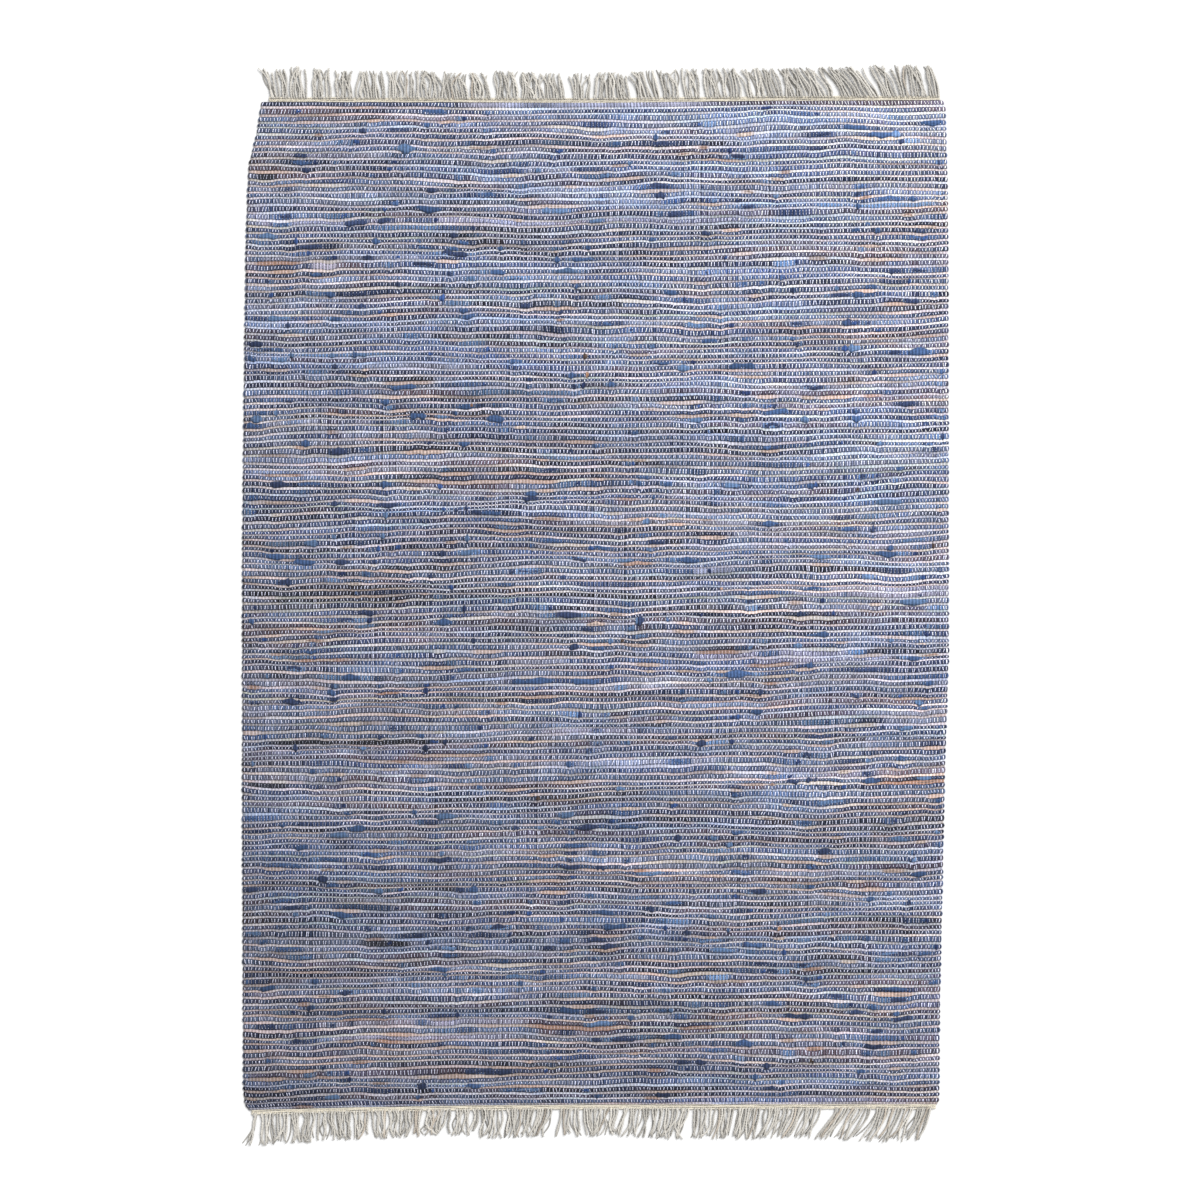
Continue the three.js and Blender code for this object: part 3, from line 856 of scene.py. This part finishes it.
class RUG_OT_fine_floats(Operator):
    """Lay the other warp yarns, which cross over each fine pick as small beads"""

    bl_idname = "rug.fine_floats"
    bl_label = "Fine floats"

    # A bead's points: places along and across it, as shares of the fine pick and of half its own width
    PLACES = ((-0.62, -0.3), (0, -1), (0, 0), (0, 1), (0.62, 0.3))
    # The number of its top point
    TOP = 2
    TRIANGLES = np.array([(0, 1, 2), (0, 2, 3), (4, 2, 1), (4, 3, 2), (0, 3, 1), (4, 1, 3)])
    # Depth of its rim below the fine pick in metres, and spread of its width, place and rise
    RIM_DEPTH = 0.0004
    WIDTH_SPREAD, NUDGE, RISE_SPREAD = 0.12, 0.0003, 0.25
    # Its shade: parts of the fine pick's and of the warp's, and a tint with its spread
    PICK_PART, WARP_PART = 0.6, 0.4
    TINT, TINT_SPREAD = 0.98, 0.14

    def execute(self, context):
        cloth = weave()
        yarn = settings("rug_yarn")
        rng = np.random.default_rng(yarn.seed + 4)
        beads = cloth.size.ribs - 1
        pairs = cloth.size.pairs
        across = np.arange(1, cloth.size.ribs) / cloth.size.ribs
        edge = cloth.at(cloth.edge, across)
        cell = np.diff(edge, axis=0)
        fine_share = cloth.at(cloth.fine_share, across)
        height = cloth.at(cloth.fine_height, across)
        spread = rng.standard_normal((3, pairs, beads))
        half = yarn.bead_width / 2 * (1 + self.WIDTH_SPREAD * spread[0])
        nudge = self.NUDGE * spread[1] + wander(rng, pairs, beads)
        top = height + yarn.bead_rise * (1 + self.RISE_SPREAD * spread[2])
        points = np.zeros((pairs, beads, len(self.PLACES), 3))
        for number, (at, side) in enumerate(self.PLACES):
            x, y = plan(across, edge[:-1] + cell * (1 - fine_share * (0.5 - at)))
            level = top if number == self.TOP else height - self.RIM_DEPTH
            points[:, :, number] = np.stack([x + nudge + side * half, y, level], axis=-1)
        first = (len(self.PLACES) * np.arange(pairs * beads))[:, None, None]
        piece = mesh_object("fine_floats", points.reshape(-1, 3), [(first + self.TRIANGLES).reshape(-1, 3)])
        warp = self.WARP_PART * np.array(settings("rug_colours").warp)
        shade = self.PICK_PART * cloth.fine[:, cloth.nearest(across)]
        # The warp's part takes the cloth's painted light slope and random patches
        shade = shade + warp * cloth.at(cloth.fade, across)[..., None]
        shade *= (self.TINT + self.TINT_SPREAD * rng.standard_normal((pairs, beads)))[..., None]
        give_colour(piece, "tint", np.repeat(shade.reshape(-1, 3), len(self.PLACES), axis=0))
        finish_piece(piece, yarn_material("warp yarn"))
        return {"FINISHED"}


def path_sides(paths):
    """Directions to the side of many paths, none of them upright, and above them."""
    along = np.gradient(paths, axis=1)
    along /= np.linalg.norm(along, axis=2, keepdims=True)
    aside = np.cross(along, (0, 0, 1))
    aside /= np.linalg.norm(aside, axis=2, keepdims=True)
    return aside, np.cross(aside, along)


def tubes(paths, radii, sides):
    """Points and faces of closed tubes along many paths of equally many points."""
    count, steps, _ = paths.shape
    aside, above = path_sides(paths)
    turn = 2 * np.pi * np.arange(sides) / sides
    ring = np.cos(turn)[:, None] * aside[:, :, None] + np.sin(turn)[:, None] * above[:, :, None]
    points = paths[:, :, None] + radii[:, :, None, None] * ring
    ids = np.arange(count * steps * sides).reshape(count, steps, sides)
    after = np.roll(ids, -1, axis=2)
    walls = np.stack([ids[:, :-1], after[:, :-1], after[:, 1:], ids[:, 1:]], axis=-1)
    return points.reshape(-1, 3), [walls.reshape(-1, 4), ids[:, 0, ::-1], ids[:, -1]]


def plied(paths, lay, turns):
    """Paths of the two plies about each path, from how far out they lie and how far they have turned."""
    aside, above = path_sides(paths)
    plies = []
    for start in (0, np.pi):
        angle = 2 * np.pi * turns + start
        offset = np.cos(angle)[..., None] * aside + np.sin(angle)[..., None] * above
        plies.append(paths + lay[..., None] * offset)
    return np.concatenate(plies)


class End:
    """One end of the rug: the line of the cloth's end, the span of its heading, and its tufts."""

    def __init__(self, name, outward, share, left_inset, right_inset, tufts):
        self.name = name
        self.outward = outward
        self.share = share
        self.tufts = tufts
        self.edges, _ = plan(np.array([0.0, 1.0]), np.full(2, share))
        self.left = self.edges[0] + left_inset
        self.right = self.edges[1] - right_inset

    def line(self, x):
        """Where the cloth ends along Y at a place across it."""
        across = (x - self.edges[0]) / (self.edges[1] - self.edges[0])
        _, y = plan(across, np.full_like(across, self.share))
        return y


def rug_ends():
    """The far and the near end."""
    far = End("far", outward=1, share=0.0, left_inset=0.0146, right_inset=0.0046, tufts=FAR_TUFTS)
    near = End("near", outward=-1, share=1.0, left_inset=0.0066, right_inset=0.0036, tufts=NEAR_TUFTS)
    return far, near


class RUG_OT_headings(Operator):
    """Lay the cream picks of the two headings as twisted cords"""

    bl_idname = "rug.headings"
    bl_label = "Headings"

    # Sizes in metres: a step along a pick, its height and ripple, its stray, and its plies
    STEP = 0.003
    HEIGHT, RIPPLE, RIPPLE_LENGTH = 0.0027, 0.0002, 0.009
    STRAY, STRAY_KNOTS = 0.0004, 60
    PLY, LAY, TWIST = 0.00125, 0.00095, 0.008
    SIDES = 5
    # Spread of the tint, and how many steps keep the same one
    TINT_SPREAD, TINT_STEPS = 0.07, 6

    def execute(self, context):
        yarn = settings("rug_yarn")
        rng = np.random.default_rng(yarn.seed + 1)
        for end in rug_ends():
            steps = int((end.right - end.left) / self.STEP)
            x = np.linspace(end.left, end.right, steps)
            knots = np.linspace(end.left, end.right, self.STRAY_KNOTS)
            paths = []
            for row in range(yarn.heading_rows):
                out = (row + 0.5) / yarn.heading_rows * yarn.heading_depth
                stray = self.STRAY * np.interp(x, knots, rng.standard_normal(self.STRAY_KNOTS))
                y = end.line(x) + end.outward * (out + stray)
                z = self.HEIGHT + self.RIPPLE * np.sin(x / self.RIPPLE_LENGTH + row)
                paths.append(np.stack([x, y, z], axis=-1))
            paths = np.array(paths)
            way = np.where(np.arange(len(paths)) % 2, -1, 1)[:, None]
            turns = (x - end.left)[None, :] / self.TWIST * way
            plies = plied(paths, np.full(paths.shape[:2], self.LAY), turns)
            points, faces = tubes(plies, np.full(plies.shape[:2], self.PLY), self.SIDES)
            piece = mesh_object(f"heading_{end.name}", points, faces)
            tint = 1 + self.TINT_SPREAD * rng.standard_normal((len(plies), steps // self.TINT_STEPS + 1))
            tint = np.repeat(tint, self.TINT_STEPS, axis=1)[:, :steps]
            shade = np.array(settings("rug_colours").heading) * np.repeat(tint.ravel(), self.SIDES)[:, None]
            give_colour(piece, "tint", shade)
            finish_piece(piece, yarn_material("heading yarn"), f"fringe_{end.name}")
        return {"FINISHED"}


class RUG_OT_fringes(Operator):
    """Hang the loose warp ends out of the headings, in tufts that lie on the floor in two layers"""

    bl_idname = "rug.fringes"
    bl_label = "Fringes"

    STEPS = 13
    SIDES = 5
    # How far a strand is held inside the heading, in metres
    ROOT = 0.003
    # Fewest strands in a tuft, and in mm how they differ in place and lean, reach past it and fall short
    FEWEST = 2
    PLACE_SPREAD = 0.8
    LEAN_SPREAD, UNDER_LEAN_SPREAD = 4, 7
    REACH_PAST, REACH_SHORT = 2, 10
    # Sideways forms of a strand in metres: the curl of its tip, one bow, and a sway both ways
    CURL, BOW, SWAY = 0.0065, 0.0026, 0.0016
    # Where along the strand the curl begins, and the powers by which the curl and the lean grow
    CURL_FROM, CURL_POWER, LEAN_POWER = 0.5, 1.6, 1.25
    # How far a strand is lifted at its root, in metres, and the share of its reach over which that fades
    ROOT_LIFT, ROOT_SHARE = 0.0012, 0.08
    # How far an upper strand can be lifted in its middle
    LIFT = 0.0012
    # The tip opens over this last stretch: how much thinner its plies get, and how far they part
    FRAY_FROM, FRAY_LENGTH = 0.84, 0.16
    FRAY_THIN, FRAY_PART, UNDER_FRAY_THIN = 0.45, 0.7, 0.4
    # Thickness of a strand at least, how much more it can be, and the spread of its twist
    LEAST_THICK, MORE_THICK = 0.85, 0.3
    TWIST_SPREAD = 0.2
    # Share of stained strands, spread of the tint, the two plies' tints, and the lower layer's painted shade
    # and its spread
    STAINED = 0.05
    TINT_SPREAD = 0.13
    PLY_TINTS = (1.04, 0.96)
    UNDER_TINT, UNDER_TINT_SPREAD = 0.72, 0.1

    def roots(self, end, pitch, lean_spread, rng):
        """Root, lean and reach of every strand of a layer, tuft by tuft."""
        rows = []
        for start, stop, lean, gather, reach in end.tufts:
            count = max(self.FEWEST, round((stop - start) * MM / pitch))
            place = start + (stop - start) * (np.arange(count) + 0.5) / count
            leans = lean + (place - (start + stop) / 2) * (gather - 1)
            leans = leans + lean_spread * rng.standard_normal(count)
            reaches = reach + self.REACH_PAST - self.REACH_SHORT * rng.random(count) ** 2
            place = place + self.PLACE_SPREAD * rng.standard_normal(count)
            rows.append(np.stack([place, leans, reaches], axis=-1))
        return np.concatenate(rows) * MM

    def paths(self, end, rows, rest, lift, rng):
        """Paths of strands from their roots in the heading to their curled tips, resting on the floor."""
        count = len(rows)
        along = np.linspace(0, 1, self.STEPS)[None, :]
        root = end.left + rows[:, :1]
        base = end.line(root) + end.outward * (settings("rug_yarn").heading_depth - self.ROOT)
        tip = np.clip((along - self.CURL_FROM) / (1 - self.CURL_FROM), 0, 1) ** self.CURL_POWER
        curl = self.CURL * rng.standard_normal((count, 1)) * tip
        bow = self.BOW * rng.standard_normal((count, 1)) * np.sin(np.pi * along)
        sway = self.SWAY * rng.standard_normal((count, 1)) * np.sin(2 * np.pi * along)
        x = root + rows[:, 1:2] * along ** self.LEAN_POWER + curl + bow + sway
        y = base + end.outward * (rows[:, 2:] + self.ROOT) * along
        z = rest + self.ROOT_LIFT * np.exp(-along / self.ROOT_SHARE)
        z = z + lift * rng.random((count, 1)) * np.sin(np.pi * along) ** 2
        return np.stack(np.broadcast_arrays(x, y, z), axis=-1)

    def execute(self, context):
        yarn = settings("rug_yarn")
        rng = np.random.default_rng(yarn.seed + 2)
        colours = settings("rug_colours")
        along = np.linspace(0, 1, self.STEPS)[None, :]
        frayed = np.clip((along - self.FRAY_FROM) / self.FRAY_LENGTH, 0, 1)
        for end in rug_ends():
            rows = self.roots(end, yarn.strand_pitch, self.LEAN_SPREAD, rng)
            count = len(rows)
            thick = self.LEAST_THICK + self.MORE_THICK * rng.random((count, 1))
            over = self.paths(end, rows, yarn.ply + yarn.lay + yarn.under_ply, self.LIFT, rng)
            tightness = 1 + self.TWIST_SPREAD * rng.standard_normal((count, 1))
            turns = along * rows[:, 2:] / yarn.twist * tightness + rng.random((count, 1))
            plies = plied(over, yarn.lay * thick * (1 + self.FRAY_PART * frayed), turns)
            radii = yarn.ply * thick * (1 - self.FRAY_THIN * frayed)
            under_rows = self.roots(end, yarn.under_pitch, self.UNDER_LEAN_SPREAD, rng)
            under = self.paths(end, under_rows, yarn.under_ply, 0.0, rng)
            under_radii = yarn.under_ply * (1 - self.UNDER_FRAY_THIN * frayed)
            under_radii = np.broadcast_to(under_radii, under.shape[:2])
            every = np.concatenate([plies, under])
            radii = np.concatenate([radii, radii, under_radii])
            every[..., 2] = np.maximum(every[..., 2], radii)
            points, faces = tubes(every, radii, self.SIDES)
            piece = mesh_object(f"fringe_{end.name}_strands", points, faces)
            shade = np.tile(np.array(colours.fringe), (count, 1))
            shade[rng.random(count) < self.STAINED] = colours.tan
            shade *= 1 + self.TINT_SPREAD * rng.standard_normal((count, 1))
            # The lower layer darker as painted shade under the upper strands, with a random spread of tint
            under_shade_and_tint = self.UNDER_TINT + self.UNDER_TINT_SPREAD * rng.standard_normal((len(under), 1))
            shades = [tint * shade for tint in self.PLY_TINTS] + [np.array(colours.fringe) * under_shade_and_tint]
            give_colour(piece, "tint", np.repeat(np.concatenate(shades), self.STEPS * self.SIDES, axis=0))
            finish_piece(piece, yarn_material("fringe yarn"), f"fringe_{end.name}")
        return {"FINISHED"}


class RUG_OT_rag_knots(Operator):
    """Set the knots and the ragged lumps that stand out of the face"""

    bl_idname = "rug.rag_knots"
    bl_label = "Rag knots"

    AROUND = 6
    RINGS = 5
    # Sizes in metres: half of a knot's length with its spread, and the least and most for a lump
    KNOT, KNOT_SPREAD = 0.0046, 0.3
    LUMP_RANGE, FINE_LUMP_RANGE = (0.005, 0.03), (0.006, 0.03)
    # Half of a lump's length as a share of its slub's
    LUMP_SHARE = 0.42
    # Half width and half height of each kind, and how far its middle lies below the pick's top
    KNOT_SECTION = (0.0040, 0.0016, 0.0006)
    LUMP_SECTION = (0.0043, 0.0016, 0.0010)
    FINE_SECTION = (0.0027, 0.0014, 0.0006)
    # Height that no lump passes, in metres
    HIGHEST = 0.0088
    # Unevenness: sideways in metres, of each ring, of each point and of whole lumps
    STRAY = 0.0009
    RING_SPREAD, POINT_SPREAD, SIZE_SPREAD = 0.24, 0.18, 0.22
    # A power under 1, which makes the ends of a lump blunt
    BLUNT = 0.75
    # Shares of the width that every lump lies between
    WITHIN = (0.004, 0.996)

    def lumps(self, cloth, rows, middles, halves, section, on_fine, rng):
        """Points of uneven lumps along the picks, ring by ring, and the weave map's place of each ring."""
        wide, high, sunk = section
        polar = np.pi * (np.arange(self.RINGS) + 0.5) / self.RINGS
        place = np.clip(middles[:, None] + halves[:, None] / WIDTH * np.cos(polar), *self.WITHIN)
        row = rows[:, None]
        near = cloth.nearest(place)
        edge = cloth.edge[row, near]
        cell = cloth.edge[row + 1, near] - edge
        fine_share = cloth.fine_share[row, near]
        part = 1 - fine_share / 2 if on_fine else (1 - fine_share) / 2
        level = cloth.fine_height[row, near] if on_fine else cloth.crown[row, near]
        x, y = plan(place, edge + part * cell)
        y = y + self.STRAY * rng.standard_normal(y.shape)
        around = 2 * np.pi * np.arange(self.AROUND) / self.AROUND
        girth = np.sin(polar) ** self.BLUNT * (1 + self.RING_SPREAD * rng.standard_normal(place.shape))
        uneven = 1 + self.POINT_SPREAD * rng.standard_normal((*place.shape, self.AROUND))
        girth = girth[..., None] * uneven
        scale = np.exp(self.SIZE_SPREAD * rng.standard_normal((len(rows), 1, 1)))
        y = y[..., None] + wide * scale * girth * np.cos(around)
        z = (level - sunk)[..., None] + high * scale * girth * np.sin(around)
        x = np.broadcast_to(x[..., None], y.shape)
        return np.stack([x, y, np.minimum(z, self.HIGHEST)], axis=-1), place * cloth.size.ribs

    def execute(self, context):
        cloth = weave()
        yarn = settings("rug_yarn")
        rng = np.random.default_rng(yarn.seed + 3)
        last = yarn.knots + yarn.lumps
        rows, middles, lengths = [values[:yarn.knots] for values in cloth.strewn]
        lump_rows, lump_middles, lump_lengths = [values[yarn.knots:last] for values in cloth.strewn]
        fine_rows, fine_middles, fine_lengths = [values[:yarn.fine_lumps] for values in cloth.fine_strewn]
        ends = middles + lengths / WIDTH / 2
        knot = self.KNOT * np.exp(self.KNOT_SPREAD * rng.standard_normal(yarn.knots))
        half = np.clip(self.LUMP_SHARE * lump_lengths, *self.LUMP_RANGE)
        fine_half = np.clip(self.LUMP_SHARE * fine_lengths, *self.FINE_LUMP_RANGE)
        groups = [
            self.lumps(cloth, rows, ends, knot, self.KNOT_SECTION, False, rng),
            self.lumps(cloth, lump_rows, lump_middles, half, self.LUMP_SECTION, False, rng),
            self.lumps(cloth, fine_rows, fine_middles, fine_half, self.FINE_SECTION, True, rng),
        ]
        points, ribs = [np.concatenate(parts) for parts in zip(*groups)]
        ids = np.arange(points.size // 3).reshape(points.shape[:3])
        after = np.roll(ids, -1, axis=2)
        walls = np.stack([ids[:, :-1], ids[:, 1:], after[:, 1:], after[:, :-1]], axis=-1).reshape(-1, 4)
        piece = mesh_object("rag_knots", points.reshape(-1, 3), [walls, ids[:, 0], ids[:, -1, ::-1]])
        shade = np.concatenate([
            cloth.shades(KNOT_SHADES, rows / cloth.size.pairs),
            cloth.shades(LUMP_SHADES, lump_rows / cloth.size.pairs),
            cloth.shades(FINE_LUMP_SHADES, fine_rows / cloth.size.pairs),
        ])
        row = np.concatenate([rows, lump_rows, fine_rows])
        near = cloth.nearest(np.concatenate([ends, lump_middles, fine_middles]))
        # Painted light slope of the cloth, with its random patches, on each knot and lump
        shade *= cloth.fade[row, near][:, None]
        give_colour(piece, "tint", np.repeat(shade, self.RINGS * self.AROUND, axis=0))
        u = np.repeat(ribs.ravel(), self.AROUND)
        give_map(piece, WEAVE_MAP, np.stack([u, np.zeros_like(u)], axis=1))
        finish_piece(piece, lump_material())
        return {"FINISHED"}


class NodeBench:
    """Short ways to lay out a material's nodes."""

    def __init__(self, name):
        self.material = bpy.data.materials.new(name)
        self.material.use_nodes = True
        self.tree = self.material.node_tree
        self.shader = self.tree.nodes["Principled BSDF"]

    def add(self, kind, **values):
        """A new node with some of its settings."""
        node = self.tree.nodes.new(kind)
        for key, value in values.items():
            setattr(node, key, value)
        return node

    def feed(self, socket, value):
        """Links a socket to an output, or sets it to a number or colour."""
        if isinstance(value, bpy.types.NodeSocket):
            self.tree.links.new(value, socket)
        else:
            socket.default_value = value

    def math(self, operation, *values):
        """A sum or the like of numbers and outputs."""
        node = self.add("ShaderNodeMath", operation=operation)
        for socket, value in zip(node.inputs, values):
            self.feed(socket, value)
        return node.outputs[0]

    def spread(self, value, strength, base):
        """A value times a strength, on a base."""
        return self.math("MULTIPLY_ADD", value, strength, base)

    def step(self, value, low, high, start=0.0, stop=1.0):
        """A smooth step of a value from one number to another."""
        node = self.add("ShaderNodeMapRange", interpolation_type="SMOOTHSTEP")
        for socket, number in zip(node.inputs, (value, low, high, start, stop)):
            self.feed(socket, number)
        return node.outputs[0]

    def mix(self, factor, first, second, blend="MIX"):
        """Two colours mixed."""
        node = self.add("ShaderNodeMix", data_type="RGBA", blend_type=blend)
        self.feed(node.inputs["Factor"], factor)
        self.feed(node.inputs[6], first)
        self.feed(node.inputs[7], second)
        return node.outputs[2]

    def tinted(self, name, value):
        """A colour stored on the piece's points, made lighter or darker by a value."""
        stored = self.add("ShaderNodeAttribute", attribute_name=name).outputs["Color"]
        grey = self.add("ShaderNodeCombineColor")
        for socket in grey.inputs:
            self.feed(socket, value)
        return self.mix(1.0, stored, grey.outputs[0], "MULTIPLY")

    def noise(self, scale, stretch=(1, 1, 1), detail=2.0):
        """Noise on the part's own frame, stretched where a scale is under 1."""
        place = self.add("ShaderNodeTexCoord").outputs["Object"]
        mapping = self.add("ShaderNodeMapping")
        mapping.inputs["Scale"].default_value = stretch
        self.feed(mapping.inputs["Vector"], place)
        node = self.add("ShaderNodeTexNoise")
        self.feed(node.inputs["Vector"], mapping.outputs[0])
        node.inputs["Scale"].default_value = scale
        node.inputs["Detail"].default_value = detail
        return node.outputs["Fac"]

    def mottle(self, base):
        """Light and dark patches of a rag, on a base."""
        noise = self.noise(scale=420.0, stretch=RAG_STRETCH, detail=3.0)
        return self.spread(noise, strength=1.5, base=base)

    def weave_place(self):
        """The weave map's two directions: warp yarns across, and pairs of picks along."""
        split = self.add("ShaderNodeSeparateXYZ")
        self.feed(split.inputs[0], self.add("ShaderNodeUVMap", uv_map=WEAVE_MAP).outputs[0])
        return split.outputs["X"], split.outputs["Y"]

    def off(self, value, middle):
        """How far the part of a value after its point lies from a middle."""
        return self.math("ABSOLUTE", self.math("SUBTRACT", self.math("FRACT", value), middle))

    def cotton(self, colour, roughness, gloss):
        """Gives the shader a colour and the dull finish of cotton."""
        self.feed(self.shader.inputs["Base Color"], colour)
        self.shader.inputs["Roughness"].default_value = roughness
        self.shader.inputs["Specular IOR Level"].default_value = gloss
        self.shader.inputs["Sheen Weight"].default_value = SHEEN

    def bump(self, height, distance, strength):
        """Gives the shader a bump."""
        node = self.add("ShaderNodeBump")
        node.inputs["Distance"].default_value = distance
        node.inputs["Strength"].default_value = strength
        self.feed(node.inputs["Height"], height)
        self.feed(self.shader.inputs["Normal"], node.outputs[0])

    def rag_bump(self, puff, distance, strength):
        """Gives the shader the puffs between the warp yarns and the fibres of a rag."""
        noise = self.noise(scale=900.0, stretch=ALONG_PICK, detail=3.0)
        fibres = self.math("MULTIPLY", noise, FIBRE_HEIGHT)
        self.bump(self.math("ADD", puff, fibres), distance, strength)


@functools.cache
def rag_material():
    """Rag picks and fine picks told apart by the weave map, with painted shade at rag edges and where warp
    yarns dent them.
    """
    bench = NodeBench("rag weave")
    across, along = bench.weave_place()
    wobble = bench.spread(bench.noise(scale=260.0), strength=0.12, base=-0.06)
    from_fine = bench.off(bench.math("ADD", along, wobble), FINE_LINE)
    fine = bench.step(from_fine, low=0.12, high=0.175, start=1.0, stop=0.0)
    puff = bench.step(bench.off(across, WARP_LINE), low=0.14, high=0.5)
    mottle = bench.mottle(base=0.2)
    # Painted shade: rags darker next to the fine pick, in the valley between them
    painted_edge_shade = bench.step(from_fine, low=0.14, high=0.26, start=0.45, stop=1.0)
    # Painted shade: rags darker beside the warp yarns that cross over them
    painted_float_shade = bench.step(puff, low=0.0, high=0.7, start=0.28, stop=1.0)
    rag = bench.tinted("rag", bench.math("MULTIPLY", bench.math("MULTIPLY", mottle, painted_edge_shade), painted_float_shade))
    thread = bench.spread(bench.noise(scale=500.0, stretch=ALONG_PICK), strength=0.8, base=0.55)
    # The fine pick darker between the beads as painted shade, times its thread's own noise
    thread_and_painted_bead_gaps = bench.math("MULTIPLY", thread, bench.step(puff, low=0.0, high=1.0, start=0.6, stop=0.95))
    bench.cotton(bench.mix(fine, rag, bench.tinted("fine", thread_and_painted_bead_gaps)), roughness=0.95, gloss=0.15)
    bench.rag_bump(puff, distance=0.0006, strength=0.6)
    return bench.material


@functools.cache
def lump_material():
    """Thick rag with a tint stored on its points and the dents of the warp yarns that cross it, as bump and
    painted shade.
    """
    bench = NodeBench("knotted rag")
    across, _ = bench.weave_place()
    puff = bench.step(bench.off(across, WARP_LINE), low=0.10, high=0.4)
    # Mottle, times painted shade darkening the lump where the warp yarns dent it
    mottle_and_painted_dent_shade = bench.math("MULTIPLY", bench.mottle(base=0.25), bench.spread(puff, strength=0.5, base=0.6))
    bench.cotton(bench.tinted("tint", mottle_and_painted_dent_shade), roughness=0.95, gloss=0.15)
    bench.rag_bump(puff, distance=0.0008, strength=0.8)
    return bench.material


@functools.cache
def yarn_material(name):
    """Cotton yarn with a tint stored on its points and fine fibres."""
    bench = NodeBench(name)
    fibre = bench.spread(bench.noise(scale=700.0, detail=3.0), strength=0.5, base=0.75)
    bench.cotton(bench.tinted("tint", fibre), roughness=0.92, gloss=0.2)
    bench.bump(bench.noise(scale=1500.0, detail=3.0), distance=0.0003, strength=0.6)
    return bench.material


class RUG_OT_stage(Operator):
    """Set up the pale floor, the soft light and the camera straight above the rug"""

    bl_idname = "rug.stage"
    bl_label = "Stage"

    def execute(self, context):
        studio = settings("rug_studio")
        bpy.ops.object.select_all(action="DESELECT")
        bpy.ops.mesh.primitive_plane_add(size=studio.floor)
        floor = context.object
        floor.name = "floor"
        bench = NodeBench("pale floor")
        bench.shader.inputs["Base Color"].default_value = (*settings("rug_colours").floor, 1.0)
        bench.shader.inputs["Roughness"].default_value = 1.0
        bench.shader.inputs["Specular IOR Level"].default_value = 0.0
        floor.data.materials.append(bench.material)
        world = bpy.data.worlds.new("studio")
        world.use_nodes = True
        background = world.node_tree.nodes["Background"]
        background.inputs["Color"].default_value = (1.0, 1.0, 1.0, 1.0)
        background.inputs["Strength"].default_value = studio.ambient
        context.scene.world = world
        bpy.ops.object.light_add(type="SUN", rotation=(studio.lamp_tilt, 0, studio.lamp_turn))
        lamp = context.object
        lamp.data.energy = studio.lamp
        lamp.data.angle = studio.lamp_angle
        place = (studio.camera_x, studio.camera_y, studio.camera_z)
        bpy.ops.object.camera_add(location=place, rotation=(0, 0, 0))
        camera = context.object
        camera.data.lens = camera.data.sensor_width * studio.camera_z / studio.view
        context.scene.camera = camera
        context.scene.view_settings.view_transform = "Standard"
        return {"FINISHED"}


class RUG_PT_panel(Panel):
    """Lists the rug's pieces"""

    bl_idname = "RUG_PT_panel"
    bl_label = "Rag rug"
    bl_space_type = "VIEW_3D"
    bl_region_type = "UI"
    bl_category = "Rug"

    def draw(self, context):
        for operator in OPERATORS:
            self.layout.operator(operator.bl_idname)


GROUPS = {
    "rug_weave": WeaveSettings,
    "rug_yarn": YarnSettings,
    "rug_colours": ColourSettings,
    "rug_studio": StudioSettings,
}
OPERATORS = (
    RUG_OT_stage,
    RUG_OT_rag_cloth,
    RUG_OT_warp_floats,
    RUG_OT_fine_floats,
    RUG_OT_rag_knots,
    RUG_OT_headings,
    RUG_OT_fringes,
)


def register():
    """Makes the settings, the operators and the panel known to Blender."""
    for group in (*GROUPS.values(), *OPERATORS, RUG_PT_panel):
        bpy.utils.register_class(group)
    for name, group in GROUPS.items():
        setattr(bpy.types.Scene, name, PointerProperty(type=group))


def unregister():
    """Takes them away again."""
    for name in GROUPS:
        delattr(bpy.types.Scene, name)
    for group in (RUG_PT_panel, *reversed(OPERATORS), *reversed(GROUPS.values())):
        bpy.utils.unregister_class(group)


def main():
    """Makes the rug on its stage."""
    register()
    bpy.ops.rug.stage()
    bpy.ops.rug.rag_cloth()
    bpy.ops.rug.warp_floats()
    bpy.ops.rug.fine_floats()
    bpy.ops.rug.rag_knots()
    bpy.ops.rug.headings()
    bpy.ops.rug.fringes()


if __name__ == "__main__":
    main()
